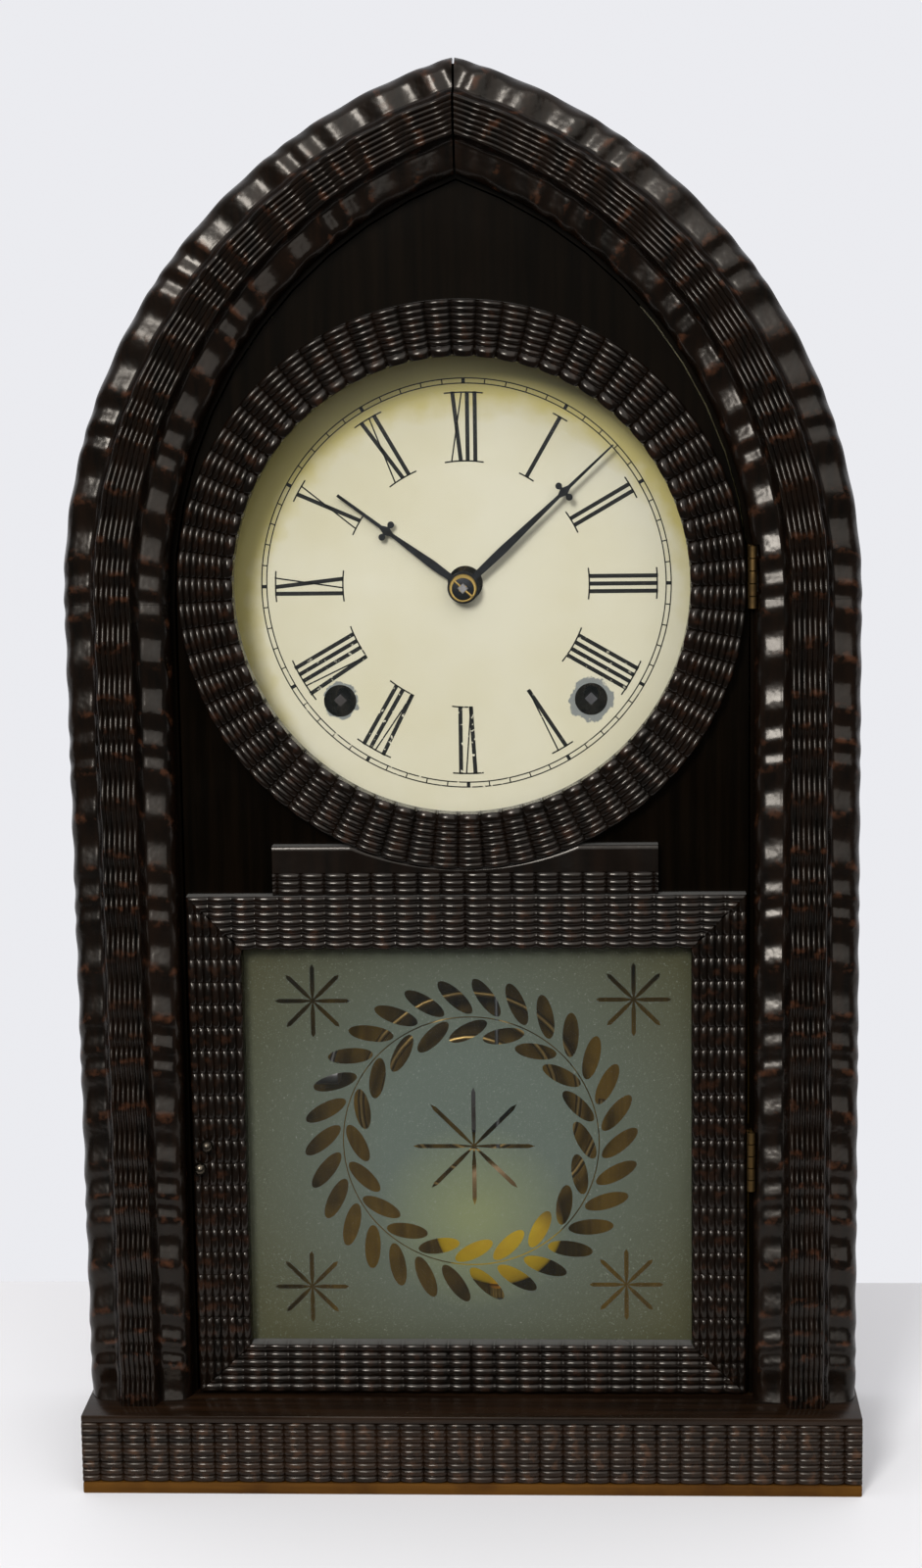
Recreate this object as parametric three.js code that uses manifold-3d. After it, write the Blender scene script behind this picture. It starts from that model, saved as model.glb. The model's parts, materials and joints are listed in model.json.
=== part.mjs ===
// A ripple-moulded shelf clock in a pointed-arch case, with its going and striking trains.
// Millimetres, +Z up, the front faces -Y and the origin is under the middle of the base.
import * as THREE from "three";
import { mergeVertices } from "three/addons/utils/BufferGeometryUtils.js";
import Module from "manifold-3d";

const wasm = await Module();
wasm.setup();
const { degToRad, radToDeg } = THREE.MathUtils;

// Case
const OVERALL_HEIGHT = 483;
const BASE_WIDTH = 268;
const BASE_DEPTH = 100;
const BASE_BOTTOM_THICKNESS = 4;
const BASE_STRIP_HEIGHT = 21.6;
const BASE_STRIP_THICKNESS = 5;
const BASE_TOP_THICKNESS = 2.6;
const CASE_INSET = 1;
const ARCH_RISE = 176.6;
const SIDE_THICKNESS = 9;
const SIDE_INSET = 1.5;
const FRONT_FRAME_THICKNESS = 10;
const BACKBOARD_THICKNESS = 6;

// Ripple moulding round the front: a raised reeded flat between two rolls, waved along its length
const MOULDING_SETBACK = 0.08 * BASE_DEPTH;
const MOULDING_WIDTH = 35.2;
const MOULDING_RELIEF = 0.16 * BASE_DEPTH;
const MOULDING_EDGE = 5.8;
const MOULDING_ROLL_WIDTH = 3.6;
const MOULDING_ROLL_HEIGHT = 9.5;
const MOULDING_SLOPE_WIDTH = 11.5;
const MOULDING_STEP = 5.2;
const MOULDING_STEP_WIDTH = 1.6;
const MOULDING_REEDS = 4;
const WAVE_HEIGHT = 0.8;
const WAVE_EDGE = 0.15;
const WAVE_LAG = 1;
const WAVE_START = 3;
const WAVE_CREST_GAPS = [8.1, 10.5, 17.6, 16.2];

// Reeded strips on the door and the base
const REED_PITCH = 2.6;
const REED_DEPTH = 0.7;

// Door
const DOOR_GAP = 0.5;
const DOOR_FOOT_GAP = 1;
const DOOR_PANEL_THICKNESS = 8;
const DOOR_PANEL_RECESS = 2;
const MOULDING_SIGHT_GAP = 1.2;
const RING_RISE = 4.2;
const RING_EDGE_GAP = 0.8;
const RING_WIDTH = 18.8;
const RING_THICKNESS = 6.4;
const PLINTH_WIDTH = 131;
const PLINTH_HEIGHT = 17;
const PLINTH_THICKNESS = 5.6;
const PLINTH_REEDS = 3;
const TABLET_RING_GAP = 9.3;
const TABLET_BOTTOM = 46.7;
const TABLET_STRIP_WIDTH = 18.6;
const TABLET_STRIP_THICKNESS = 6.2;
const GLASS_THICKNESS = 2;
const GLASS_REBATE = 3;
const GLASS_CLEARANCE = 0.3;
const MITRE_GAP = 0.1;

// Hinges, latch and pull on the door
const HINGE_LENGTH = 21;
const HINGE_KNUCKLES = 5;
const HINGE_SIDES = 6;
const HINGE_KNUCKLE_RADIUS = 1.5;
const HINGE_PIN_RADIUS = 0.6;
const HINGE_LEAF_THICKNESS = 0.7;
const HINGE_LEAF_DEPTH = 12;
const HINGE_PLAY = 0.2;
const HINGE_UPPER_RISE = 2.9;
const HINGE_LOWER_HEIGHT = 113;
const KNOB_RADIUS = 2.3;
const KNOB_STEM_RADIUS = 1.3;
const KNOB_INSET = 5.3;
const LATCH_HEIGHT = 119;
const LATCH_LENGTH = 17;
const LATCH_WIDTH = 5;
const LATCH_THICKNESS = 1.2;
const PULL_DROP = 8;
const PULL_OFFSET = 2.6;

// Dial and hands
const DIAL_EDGE_GAP = 1.6;
const DIAL_HEIGHT = 184;
const DIAL_CORNER = 16;
const DIAL_THICKNESS = 1;
const DIAL_SETBACK = 0.1 * BASE_DEPTH;
const DIAL_CENTRE_HOLE_RADIUS = 6;
const WINDING_HOLE_RADIUS = 5.6;
const DIAL_RAIL_WIDTH = 34;
const DIAL_RAIL_DEPTH = 12;
const DIAL_RAIL_HEIGHT = 78;
const HAND_THICKNESS = 0.8;
const HAND_SPACING = 2.4;
const MINUTE_HAND_TIP_GAP = 6.5;
const MINUTE_HAND_CROSS = 47.2;
const HOUR_HAND_LENGTH = 53;
const HOUR_HAND_CROSS = 32.4;
const HAND_CROSS_HALF_WIDTH = 4.6;
const HAND_ROOT_RADIUS = 5.2;
const HAND_STEM_HALF_WIDTH = 1.5;
const HAND_TIP_HALF_WIDTH = 0.4;
const MINUTE_HAND_ANGLE = 47;
const HOUR_HAND_ANGLE = 306.6;
const COLLET_RADIUS = 5.4;
const COLLET_THICKNESS = 1.4;

// Movement plates
const PLATE_WIDTH = 124;
const PLATE_HEIGHT = 154;
const PLATE_THICKNESS = 2;
const PLATE_SETBACK = 0.18 * BASE_DEPTH;
const PLATE_FOOT_DROP = 78;
const PLATE_WINDOW_WIDTH = 30;
const PLATE_WINDOW_HEIGHT = 18;
const PILLAR_RADIUS = 2.6;
const PILLAR_INSET = 6;
const MOUNTING_STRIP_HEIGHT = 12;
const ARBOR_DROP = 1.6;
const ARBOR_RADIUS = 0.9;
const CENTRE_ARBOR_RADIUS = 1.5;
const WINDING_ARBOR_RADIUS = 2.2;
const HOUR_PIPE_RADIUS = 3.2;
const HUB_WALL = 2.2;
const ARBOR_PLAY = 0.35;
const END_SHAKE = 0.2;
const LAYER_GAP = 0.5;

// Trains: pitch radii and teeth of the wheels, trundles of the lantern pinions
const WHEEL_THICKNESS = 1.5;
const GREAT_WHEEL_THICKNESS = 2;
const WHEEL_ARMS = 4;
const WHEEL_ARM_HALF_WIDTH = 1.6;
const SHROUD_THICKNESS = 0.8;
const SHROUD_RIM = 0.4;
const MESH_SIDE_PLAY = 0.5;
const TOOTH_TIP_SHARE = 0.38;
const TOOTH_ROOT_SHARE = 0.5;
const RIM_PITCHES = 1.5;
const TRUNDLE_SHARE = 0.15;
const WINDING_ARBOR_OFFSET = 43.2;
const WINDING_ARBOR_DROP = 39.2;
const GREAT_WHEEL_RADIUS = 30;
const GREAT_WHEEL_TEETH = 42;
const SECOND_PINION_TRUNDLES = 7;
const SECOND_WHEEL_RADIUS = 21.6;
const SECOND_WHEEL_TEETH = 36;
const SMALL_PINION_TRUNDLES = 6;
const CENTRE_WHEEL_RADIUS = 21.6;
const CENTRE_WHEEL_TEETH = 36;
const THIRD_WHEEL_RADIUS = 19.6;
const THIRD_WHEEL_TEETH = 48;
const CANNON_TRUNDLES = 8;
const MINUTE_WHEEL_RADIUS = 12.6;
const MINUTE_WHEEL_TEETH = 24;
const MINUTE_ARBOR_DIRECTION = 118;
const HOUR_WHEEL_TEETH = 32;
const WARNING_WHEEL_RADIUS = 16.3;
const WARNING_WHEEL_TEETH = 30;
const WARNING_ARBOR_DIRECTION = 106;
const FLY_ARBOR_DIRECTION = 59;
const FLY_HALF_SPAN = 13;
const FLY_VANE_THICKNESS = 0.8;
const STRIKE_PINS = 9;
const STRIKE_PIN_CIRCLE = 15;
const STRIKE_PIN_RADIUS = 0.7;
const STRIKE_PIN_LENGTH = 2;
const RATCHET_RADIUS = 9;
const RATCHET_TEETH = 12;
const RATCHET_TOOTH_HEIGHT = 1.4;
const CLICK_WIDTH = 2.8;
const CLICK_LENGTH = 14;
const SPRING_TURNS = 3.5;
const SPRING_STEPS_PER_TURN = 9;
const SPRING_INNER_RADIUS = 7;
const SPRING_OUTER_RADIUS = 25;
const SPRING_STRIP = 1.1;

// Escapement and pendulum
const PENDULUM_OFFSET = 9;
const PENDULUM_SETBACK = 8;
const ESCAPE_WHEEL_RADIUS = 16;
const ESCAPE_WHEEL_TEETH = 32;
const ESCAPE_WHEEL_LEAD = 4.5;
const ESCAPE_TOOTH_HEIGHT = 3.2;
const ESCAPE_RIM = 2;
const ESCAPE_ARBOR_RISE = 44;
const PALLET_SPAN_TEETH = 7;
const PALLET_CLEARANCE = 0.35;
const PALLET_THICKNESS = 0.9;
const PALLET_LENGTH = 4;
const VERGE_WIDTH = 2.5;
const VERGE_ARM_RADIUS = 0.9;
const CRUTCH_LENGTH = 38;
const CRUTCH_WIDTH = 2.4;
const CRUTCH_THICKNESS = 0.8;
const CRUTCH_LEAD = 1.4;
const CRUTCH_SLOT = 2.2;
const CRUTCH_PRONG = 0.8;
const CRUTCH_FOOT = 2;
const COCK_WIDTH = 8;
const COCK_BELOW = 4;
const COCK_ABOVE = 8;
const COCK_FOOT_THICKNESS = 1.2;
const POST_WIDTH = 4;
const POST_HEIGHT = 4;
const POST_LIP = 3;
const SUSPENSION_WIDTH = 2;
const SUSPENSION_THICKNESS = 0.4;
const SUSPENSION_LENGTH = 12;
const PENDULUM_ROD_RADIUS = 0.7;
const BOB_HEIGHT = 80;
const BOB_RADIUS = 23;
const BOB_THICKNESS = 9;
const BOB_EDGE_SHARE = 0.2;
const BOB_SHOULDER_RADIUS_SHARE = 0.55;
const BOB_SHOULDER_DEPTH_SHARE = 0.8;
const RATING_NUT_RADIUS = 4;
const RATING_NUT_HEIGHT = 3.5;
const ROD_END = 3;

// Gong and hammer
const GONG_HEIGHT = 118;
const GONG_TURNS = 4;
const GONG_STEPS_PER_TURN = 16;
const GONG_WIRE_SIDES = 5;
const GONG_INNER_RADIUS = 13;
const GONG_OUTER_RADIUS = 46;
const GONG_WIRE_RADIUS = 1.2;
const GONG_FOOT_RADIUS = 14;
const GONG_FOOT_THICKNESS = 4;
const GONG_POST_LEAD = 3;
const HAMMER_ARBOR_OFFSET = 8;
const HAMMER_ARBOR_DROP = 37;
const HAMMER_COLLAR_RADIUS = 2.1;
const HAMMER_COLLAR_LENGTH = 4;
const HAMMER_WIRE_RADIUS = 0.9;
const HAMMER_WIRE_SIDES = 6;
const HAMMER_HEAD_RADIUS = 4;
const HAMMER_HEAD_LENGTH = 10;
const HAMMER_REST_GAP = 1.5;

// Counts of flat faces round curves, and how far a join or a cutter runs past a face
const ROUND_SIDES = 8;
const SQUARE_SIDES = 4;
const ARBOR_SIDES = 6;
const TRUNDLE_SIDES = 4;
const FINE_SIDES = 13;
const RING_SIDES = 32;
const ARCH_STEPS = 11;
const MERGE_DISTANCE = 1e-4;
const BURIED = 1;

// Places that follow from the sizes above
const FRONT_Y = -BASE_DEPTH / 2;
const BACK_Y = BASE_DEPTH / 2;
const BASE_STRIP_TOP = BASE_BOTTOM_THICKNESS + BASE_STRIP_HEIGHT;
const BASE_HEIGHT = BASE_STRIP_TOP + BASE_TOP_THICKNESS;
const CASE_HALF_WIDTH = BASE_WIDTH / 2 - CASE_INSET;
const SPRINGING_HEIGHT = OVERALL_HEIGHT - ARCH_RISE;
const ARCH_CENTRE = (ARCH_RISE ** 2 - CASE_HALF_WIDTH ** 2) / (2 * CASE_HALF_WIDTH);
const ARCH_RADIUS = CASE_HALF_WIDTH + ARCH_CENTRE;
const SIDE_HALF_WIDTH = CASE_HALF_WIDTH - SIDE_INSET;
const MOULDING_BACK_Y = FRONT_Y + MOULDING_SETBACK + MOULDING_RELIEF;
const FRONT_FRAME_BACK_Y = MOULDING_BACK_Y + FRONT_FRAME_THICKNESS;
const BACKBOARD_FRONT_Y = BACK_Y - BACKBOARD_THICKNESS;
const MOULDING_INNER_HALF_WIDTH = CASE_HALF_WIDTH - MOULDING_WIDTH;
const OPENING_HALF_WIDTH = MOULDING_INNER_HALF_WIDTH - MOULDING_SIGHT_GAP;
const DOOR_HALF_WIDTH = OPENING_HALF_WIDTH - DOOR_GAP;
const DOOR_BOTTOM = BASE_HEIGHT + DOOR_FOOT_GAP;
const DOOR_FRONT_Y = MOULDING_BACK_Y + DOOR_PANEL_RECESS;
const DOOR_BACK_Y = DOOR_FRONT_Y + DOOR_PANEL_THICKNESS;
const RING_HEIGHT = SPRINGING_HEIGHT + RING_RISE;
const RING_OUTER_RADIUS = DOOR_HALF_WIDTH - RING_EDGE_GAP;
const RING_INNER_RADIUS = RING_OUTER_RADIUS - RING_WIDTH;
const TABLET_HALF_WIDTH = RING_OUTER_RADIUS - TABLET_STRIP_WIDTH;
const TABLET_FRAME_TOP = RING_HEIGHT - RING_OUTER_RADIUS - TABLET_RING_GAP;
const TABLET_TOP = TABLET_FRAME_TOP - TABLET_STRIP_WIDTH;
const HINGE_AXIS_X = RING_OUTER_RADIUS + HINGE_KNUCKLE_RADIUS + HINGE_PLAY;
const HINGE_AXIS_Y = DOOR_FRONT_Y - RING_THICKNESS - DOOR_GAP;
const LATCH_X = -RING_OUTER_RADIUS + KNOB_INSET;
const DIAL_FRONT_Y = DOOR_BACK_Y + DIAL_SETBACK;
const DIAL_BACK_Y = DIAL_FRONT_Y + DIAL_THICKNESS;
const PLATE_FRONT_Y = DIAL_FRONT_Y + PLATE_SETBACK;
const PLATE_INNER_Y = PLATE_FRONT_Y + PLATE_THICKNESS;
const CENTRE_Z = RING_HEIGHT - ARBOR_DROP;

const root = new THREE.Group();

// Materials, one for each kind of surface
function material(color, roughness, metalness) {
  return () => new THREE.MeshStandardMaterial({ color, roughness, metalness });
}

const darkVarnish = material(0x2a1813, 0.3, 0);
const veneer = material(0x35191a, 0.32, 0);
const goldenWood = material(0x8a5f36, 0.5, 0);
const pine = material(0x9c7749, 0.7, 0);
const ivoryPaint = material(0xe9dcb4, 0.55, 0);
const frostedGlass = material(0xa3aa98, 0.6, 0);
const clearGlass = material(0xdfe6e2, 0.08, 0);
const brass = material(0xb08a43, 0.35, 0.9);
const dullBrass = material(0x8a6c3a, 0.5, 0.85);
const steel = material(0x85878a, 0.35, 0.95);
const blackSteel = material(0x16161a, 0.45, 0.6);
const iron = material(0x3a3a3c, 0.65, 0.8);

// Turns a closed three.js geometry into a solid that can be cut and joined
function solidFrom(geometry) {
  const bare = geometry.clone();
  bare.deleteAttribute("normal");
  bare.deleteAttribute("uv");
  const merged = mergeVertices(bare, MERGE_DISTANCE);
  const vertProperties = merged.attributes.position.array;
  const triVerts = new Uint32Array(merged.index.array);
  return new wasm.Manifold(new wasm.Mesh({ numProp: 3, vertProperties, triVerts }));
}

function geometryFrom(solid) {
  const mesh = solid.getMesh();
  const geometry = new THREE.BufferGeometry();
  geometry.setAttribute("position", new THREE.BufferAttribute(mesh.vertProperties, mesh.numProp));
  geometry.setIndex(new THREE.BufferAttribute(mesh.triVerts, 1));
  return geometry;
}

function addPart(name, solid, makeMaterial) {
  const mesh = new THREE.Mesh(geometryFrom(solid), makeMaterial());
  mesh.name = name;
  root.add(mesh);
  return mesh;
}

// Adds the same piece again on the other side of the clock's middle plane
function addMirrored(name, solid, makeMaterial) {
  const mesh = addPart(name, solid, makeMaterial);
  mesh.scale.x = -1;
}

function join(...solids) {
  return solids.reduce((sum, solid) => sum.add(solid));
}

function cut(solid, ...tools) {
  return tools.reduce((rest, tool) => rest.subtract(tool), solid);
}

// Basic solids
function box([x0, x1], [y0, y1], [z0, z1]) {
  const geometry = new THREE.BoxGeometry(x1 - x0, y1 - y0, z1 - z0);
  return solidFrom(geometry.translate((x0 + x1) / 2, (y0 + y1) / 2, (z0 + z1) / 2));
}

function rodAlongY([x, z], [y0, y1], radius, sides = ROUND_SIDES) {
  const geometry = new THREE.CylinderGeometry(radius, radius, y1 - y0, sides);
  return solidFrom(geometry.translate(x, (y0 + y1) / 2, z));
}

function rodAlongZ([x, y], [z0, z1], radius, sides = ROUND_SIDES) {
  const geometry = new THREE.CylinderGeometry(radius, radius, z1 - z0, sides).rotateX(Math.PI / 2);
  return solidFrom(geometry.translate(x, y, (z0 + z1) / 2));
}

function rodAlongX([y, z], [x0, x1], radius, sides = ROUND_SIDES) {
  const geometry = new THREE.CylinderGeometry(radius, radius, x1 - x0, sides).rotateZ(Math.PI / 2);
  return solidFrom(geometry.translate((x0 + x1) / 2, y, z));
}

function rodBetween(from, to, radius, sides) {
  const start = new THREE.Vector3(...from);
  const along = new THREE.Vector3(...to).sub(start);
  const geometry = new THREE.CylinderGeometry(radius, radius, along.length(), sides);
  geometry.translate(0, along.length() / 2, 0);
  const turn = new THREE.Quaternion();
  turn.setFromUnitVectors(new THREE.Vector3(0, 1, 0), along.clone().normalize());
  return solidFrom(geometry.applyQuaternion(turn).translate(start.x, start.y, start.z));
}

function ball([x, y, z], radius) {
  return solidFrom(new THREE.SphereGeometry(radius, ROUND_SIDES, ROUND_SIDES / 2).translate(x, y, z));
}

function shapeOf(points, holes = []) {
  const shape = new THREE.Shape(points.map(([x, z]) => new THREE.Vector2(x, z)));
  for (const hole of holes) {
    shape.holes.push(new THREE.Path(hole.map(([x, z]) => new THREE.Vector2(x, z))));
  }
  return shape;
}

// A flat plate standing in the plane of the dial, between two depths
function plate(shape, [y0, y1]) {
  const geometry = new THREE.ExtrudeGeometry(shape, { depth: y1 - y0, bevelEnabled: false });
  return solidFrom(geometry.rotateX(Math.PI / 2).translate(0, y1, 0));
}

function circle([x, z], radius, sides, phase = 0) {
  const points = [];
  for (let i = 0; i < sides; i += 1) {
    const angle = phase + (2 * Math.PI * i) / sides;
    points.push([x + radius * Math.cos(angle), z + radius * Math.sin(angle)]);
  }
  return points;
}

// A body turned about a line along Y, from a closed profile of radius and depth
function turned(profile, [x, z], sides) {
  const points = profile.map(([radius, y]) => new THREE.Vector2(radius, y));
  return solidFrom(new THREE.LatheGeometry(points, sides).translate(x, 0, z));
}

// Right half of the pointed arch at a given half width, from its foot to its apex
function archHalf(halfWidth, bottom) {
  const radius = ARCH_RADIUS - CASE_HALF_WIDTH + halfWidth;
  const apexAngle = Math.acos(ARCH_CENTRE / radius);
  const points = [[halfWidth, bottom]];
  for (let i = 0; i <= ARCH_STEPS; i += 1) {
    const angle = (apexAngle * i) / ARCH_STEPS;
    points.push([radius * Math.cos(angle) - ARCH_CENTRE, SPRINGING_HEIGHT + radius * Math.sin(angle)]);
  }
  return points;
}

function archOutline(halfWidth, bottom) {
  const right = archHalf(halfWidth, bottom);
  const left = right.slice(0, -1).map(([x, z]) => [-x, z]);
  return [...right, ...left.reverse()];
}

// Reeds side by side: grooves at the ends, a crest in the middle of each
function reeds(start, width, height, count) {
  const points = [];
  const pitch = width / count;
  for (let i = 0; i < count; i += 1) {
    points.push([start + i * pitch, height - REED_DEPTH]);
    points.push([start + (i + 0.5) * pitch, height]);
  }
  points.push([start + width, height - REED_DEPTH]);
  return points;
}

function reedCount(width) {
  return Math.round(width / REED_PITCH);
}

// A straight strip of a given cross-section, laid out by three directions and a corner
function strip(profile, length, across, outward, along, corner) {
  const geometry = new THREE.ExtrudeGeometry(shapeOf(profile), { depth: length, bevelEnabled: false });
  const axes = [across, outward, along].map((axis) => new THREE.Vector3(...axis));
  return solidFrom(geometry.applyMatrix4(new THREE.Matrix4().makeBasis(...axes).setPosition(...corner)));
}

function reededProfile(width, thickness) {
  return [[0, 0], [width, 0], ...reeds(0, width, thickness, reedCount(width)).reverse()];
}

// Base
function makeBase() {
  const width = [-BASE_WIDTH / 2, BASE_WIDTH / 2];
  const depth = [FRONT_Y, BACK_Y];
  const coreDepth = [FRONT_Y + BASE_STRIP_THICKNESS, BACK_Y];
  const stripZ = [BASE_BOTTOM_THICKNESS, BASE_STRIP_TOP];
  addPart("base_bottom_board", box(width, depth, [0, BASE_BOTTOM_THICKNESS]), goldenWood);
  addPart("base_core", box(width, coreDepth, stripZ), darkVarnish);
  addPart("base_top_board", box(width, depth, [BASE_STRIP_TOP, BASE_HEIGHT]), darkVarnish);
  const profile = reededProfile(BASE_STRIP_HEIGHT, BASE_STRIP_THICKNESS);
  const corner = [-BASE_WIDTH / 2, FRONT_Y + BASE_STRIP_THICKNESS, BASE_BOTTOM_THICKNESS];
  const front = strip(profile, BASE_WIDTH, [0, 0, 1], [0, -1, 0], [1, 0, 0], corner);
  addPart("base_ripple_strip", front, darkVarnish);
}

// Case sides, front frame and backboard
function makeCase() {
  const outer = archHalf(SIDE_HALF_WIDTH, BASE_HEIGHT);
  const inner = archHalf(SIDE_HALF_WIDTH - SIDE_THICKNESS, BASE_HEIGHT);
  const side = plate(shapeOf([...outer, ...inner.reverse()]), [FRONT_FRAME_BACK_Y, BACKBOARD_FRONT_Y]);
  addPart("case_side_right", side, darkVarnish);
  addMirrored("case_side_left", side, darkVarnish);

  const frameOuter = archOutline(SIDE_HALF_WIDTH, BASE_HEIGHT);
  const frameInner = archOutline(OPENING_HALF_WIDTH, BASE_HEIGHT).reverse();
  const frame = plate(shapeOf([...frameOuter, ...frameInner]), [MOULDING_BACK_Y, FRONT_FRAME_BACK_Y]);
  addPart("front_frame", cut(frame, ...hingeHeights().map(caseLeafMortise)), darkVarnish);

  const back = shapeOf(archOutline(SIDE_HALF_WIDTH, BASE_HEIGHT));
  addPart("backboard", plate(back, [BACKBOARD_FRONT_Y, BACK_Y]), pine);
}

// Ripple moulding
function mouldingProfile() {
  const shoulder = [MOULDING_SLOPE_WIDTH - MOULDING_STEP_WIDTH, MOULDING_RELIEF - REED_DEPTH - MOULDING_STEP];
  const flatWidth = MOULDING_WIDTH - 2 * MOULDING_SLOPE_WIDTH;
  const flat = reeds(MOULDING_SLOPE_WIDTH, flatWidth, MOULDING_RELIEF, MOULDING_REEDS);
  const rising = [[0, MOULDING_EDGE], [MOULDING_ROLL_WIDTH, MOULDING_ROLL_HEIGHT], shoulder];
  const falling = rising.map(([u, v]) => [MOULDING_WIDTH - u, v]).reverse();
  return [[0, 0], [MOULDING_WIDTH, 0], ...[...rising, ...flat, ...falling].reverse()];
}

// Distance from the springing of the arch of the rows of waves: crests and, halfway between them, troughs
function waveRow(index) {
  const crest = Math.floor(index / 2);
  const period = WAVE_CREST_GAPS.reduce((sum, gap) => sum + gap);
  const step = ((crest % WAVE_CREST_GAPS.length) + WAVE_CREST_GAPS.length) % WAVE_CREST_GAPS.length;
  const passed = WAVE_CREST_GAPS.slice(0, step).reduce((sum, gap) => sum + gap, 0);
  const start = WAVE_START + ((crest - step) / WAVE_CREST_GAPS.length) * period + passed;
  return index % 2 === 0 ? start : start + WAVE_CREST_GAPS[step] / 2;
}

// Sweeps the profile over the wave rows, leaning each wave back as the surface falls away
function rippleMoulding(start, end, place) {
  let firstRow = 0;
  while (waveRow(firstRow) > start) firstRow -= 1;
  let lastRow = 0;
  while (waveRow(lastRow) < end + MOULDING_RELIEF) lastRow += 1;
  const rows = lastRow - firstRow;
  const settings = { depth: rows, steps: rows, bevelEnabled: false };
  const geometry = new THREE.ExtrudeGeometry(shapeOf(mouldingProfile()), settings);
  const position = geometry.attributes.position;
  const point = new THREE.Vector3();
  for (let i = 0; i < position.count; i += 1) {
    point.fromBufferAttribute(position, i);
    const row = firstRow + Math.round(point.z);
    const swell = row % 2 === 0 ? 1 : -1;
    const across = point.x - swell * WAVE_EDGE * (1 - point.x / MOULDING_WIDTH);
    const height = point.y > 0 ? point.y + swell * WAVE_HEIGHT - WAVE_HEIGHT : 0;
    const lag = WAVE_LAG * (MOULDING_RELIEF - Math.max(point.y, MOULDING_EDGE));
    const placed = place(across, height, waveRow(row) - lag);
    position.setXYZ(i, ...placed);
  }
  return solidFrom(geometry);
}

function makeMouldings() {
  const uprightLength = SPRINGING_HEIGHT - BASE_HEIGHT;
  const middleRadius = ARCH_RADIUS - MOULDING_WIDTH / 2;
  const archLength = middleRadius * Math.acos(ARCH_CENTRE / middleRadius);
  const upright = rippleMoulding(-uprightLength, 0, (across, height, along) => [
    CASE_HALF_WIDTH - across,
    MOULDING_BACK_Y - height,
    SPRINGING_HEIGHT + along,
  ]);
  const arch = rippleMoulding(0, archLength, (across, height, along) => [
    (ARCH_RADIUS - across) * Math.cos(along / middleRadius) - ARCH_CENTRE,
    MOULDING_BACK_Y - height,
    SPRINGING_HEIGHT + (ARCH_RADIUS - across) * Math.sin(along / middleRadius),
  ]);
  const rightOfMiddle = [MITRE_GAP / 2, BASE_WIDTH];
  const anyDepth = [-BASE_DEPTH, BASE_DEPTH];
  const uprightSpan = box(rightOfMiddle, anyDepth, [BASE_HEIGHT, SPRINGING_HEIGHT - MITRE_GAP / 2]);
  const archSpan = box(rightOfMiddle, anyDepth, [SPRINGING_HEIGHT + MITRE_GAP / 2, 2 * OVERALL_HEIGHT]);
  const straight = upright.intersect(uprightSpan);
  const curved = arch.intersect(archSpan);
  const hingeNotches = [...hingeHeights().map(caseLeafMortise), ...hingeHeights().map(knuckleSpace)];
  addPart("moulding_right_upright", cut(straight, ...hingeNotches), darkVarnish);
  addMirrored("moulding_left_upright", straight, darkVarnish);
  addPart("moulding_right_arch", cut(curved, ...hingeNotches), darkVarnish);
  addMirrored("moulding_left_arch", curved, darkVarnish);
}

// Hinges: leaves let into the door's edge and the frame's edge, knuckles in front
function hingeHeights() {
  return [RING_HEIGHT + HINGE_UPPER_RISE, HINGE_LOWER_HEIGHT];
}

const LEAF_FRONT_Y = HINGE_AXIS_Y + HINGE_KNUCKLE_RADIUS + HINGE_PLAY;
const LEAF_BACK_Y = LEAF_FRONT_Y + HINGE_LEAF_DEPTH;
const DOOR_LEAF_X = [HINGE_AXIS_X - 2 * HINGE_LEAF_THICKNESS, HINGE_AXIS_X - HINGE_LEAF_THICKNESS];
const CASE_LEAF_X = [HINGE_AXIS_X - HINGE_LEAF_THICKNESS / 2, HINGE_AXIS_X + HINGE_LEAF_THICKNESS / 2];

function hingeSpan(height) {
  return [height - HINGE_LENGTH / 2, height + HINGE_LENGTH / 2];
}

function mortise([x0, x1], height) {
  const [z0, z1] = hingeSpan(height);
  const depth = [-BASE_DEPTH, LEAF_BACK_Y + HINGE_PLAY];
  return box([x0 - HINGE_PLAY, x1 + HINGE_PLAY], depth, [z0 - HINGE_PLAY, z1 + HINGE_PLAY]);
}

function doorLeafMortise(height) {
  return mortise([DOOR_LEAF_X[0], DOOR_HALF_WIDTH], height);
}

function caseLeafMortise(height) {
  return mortise([DOOR_LEAF_X[0], CASE_LEAF_X[1]], height);
}

function knuckleSpace(height) {
  const [z0, z1] = hingeSpan(height);
  const axis = [HINGE_AXIS_X, HINGE_AXIS_Y];
  return rodAlongZ(axis, [z0 - HINGE_PLAY, z1 + HINGE_PLAY], HINGE_KNUCKLE_RADIUS + HINGE_PLAY);
}

function hingeLeaf(leafX, height, isOwnKnuckle) {
  const [z0, z1] = hingeSpan(height);
  const pitch = HINGE_LENGTH / HINGE_KNUCKLES;
  const pieces = [box(leafX, [LEAF_FRONT_Y, LEAF_BACK_Y], [z0, z1])];
  for (let i = 0; i < HINGE_KNUCKLES; i += 1) {
    if (isOwnKnuckle(i)) {
      const span = [z0 + i * pitch + HINGE_PLAY / 2, z0 + (i + 1) * pitch - HINGE_PLAY / 2];
      pieces.push(rodAlongZ([HINGE_AXIS_X, HINGE_AXIS_Y], span, HINGE_KNUCKLE_RADIUS, HINGE_SIDES));
      pieces.push(box(leafX, [HINGE_AXIS_Y, LEAF_FRONT_Y + HINGE_PLAY], span));
    }
  }
  return join(...pieces);
}

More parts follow.
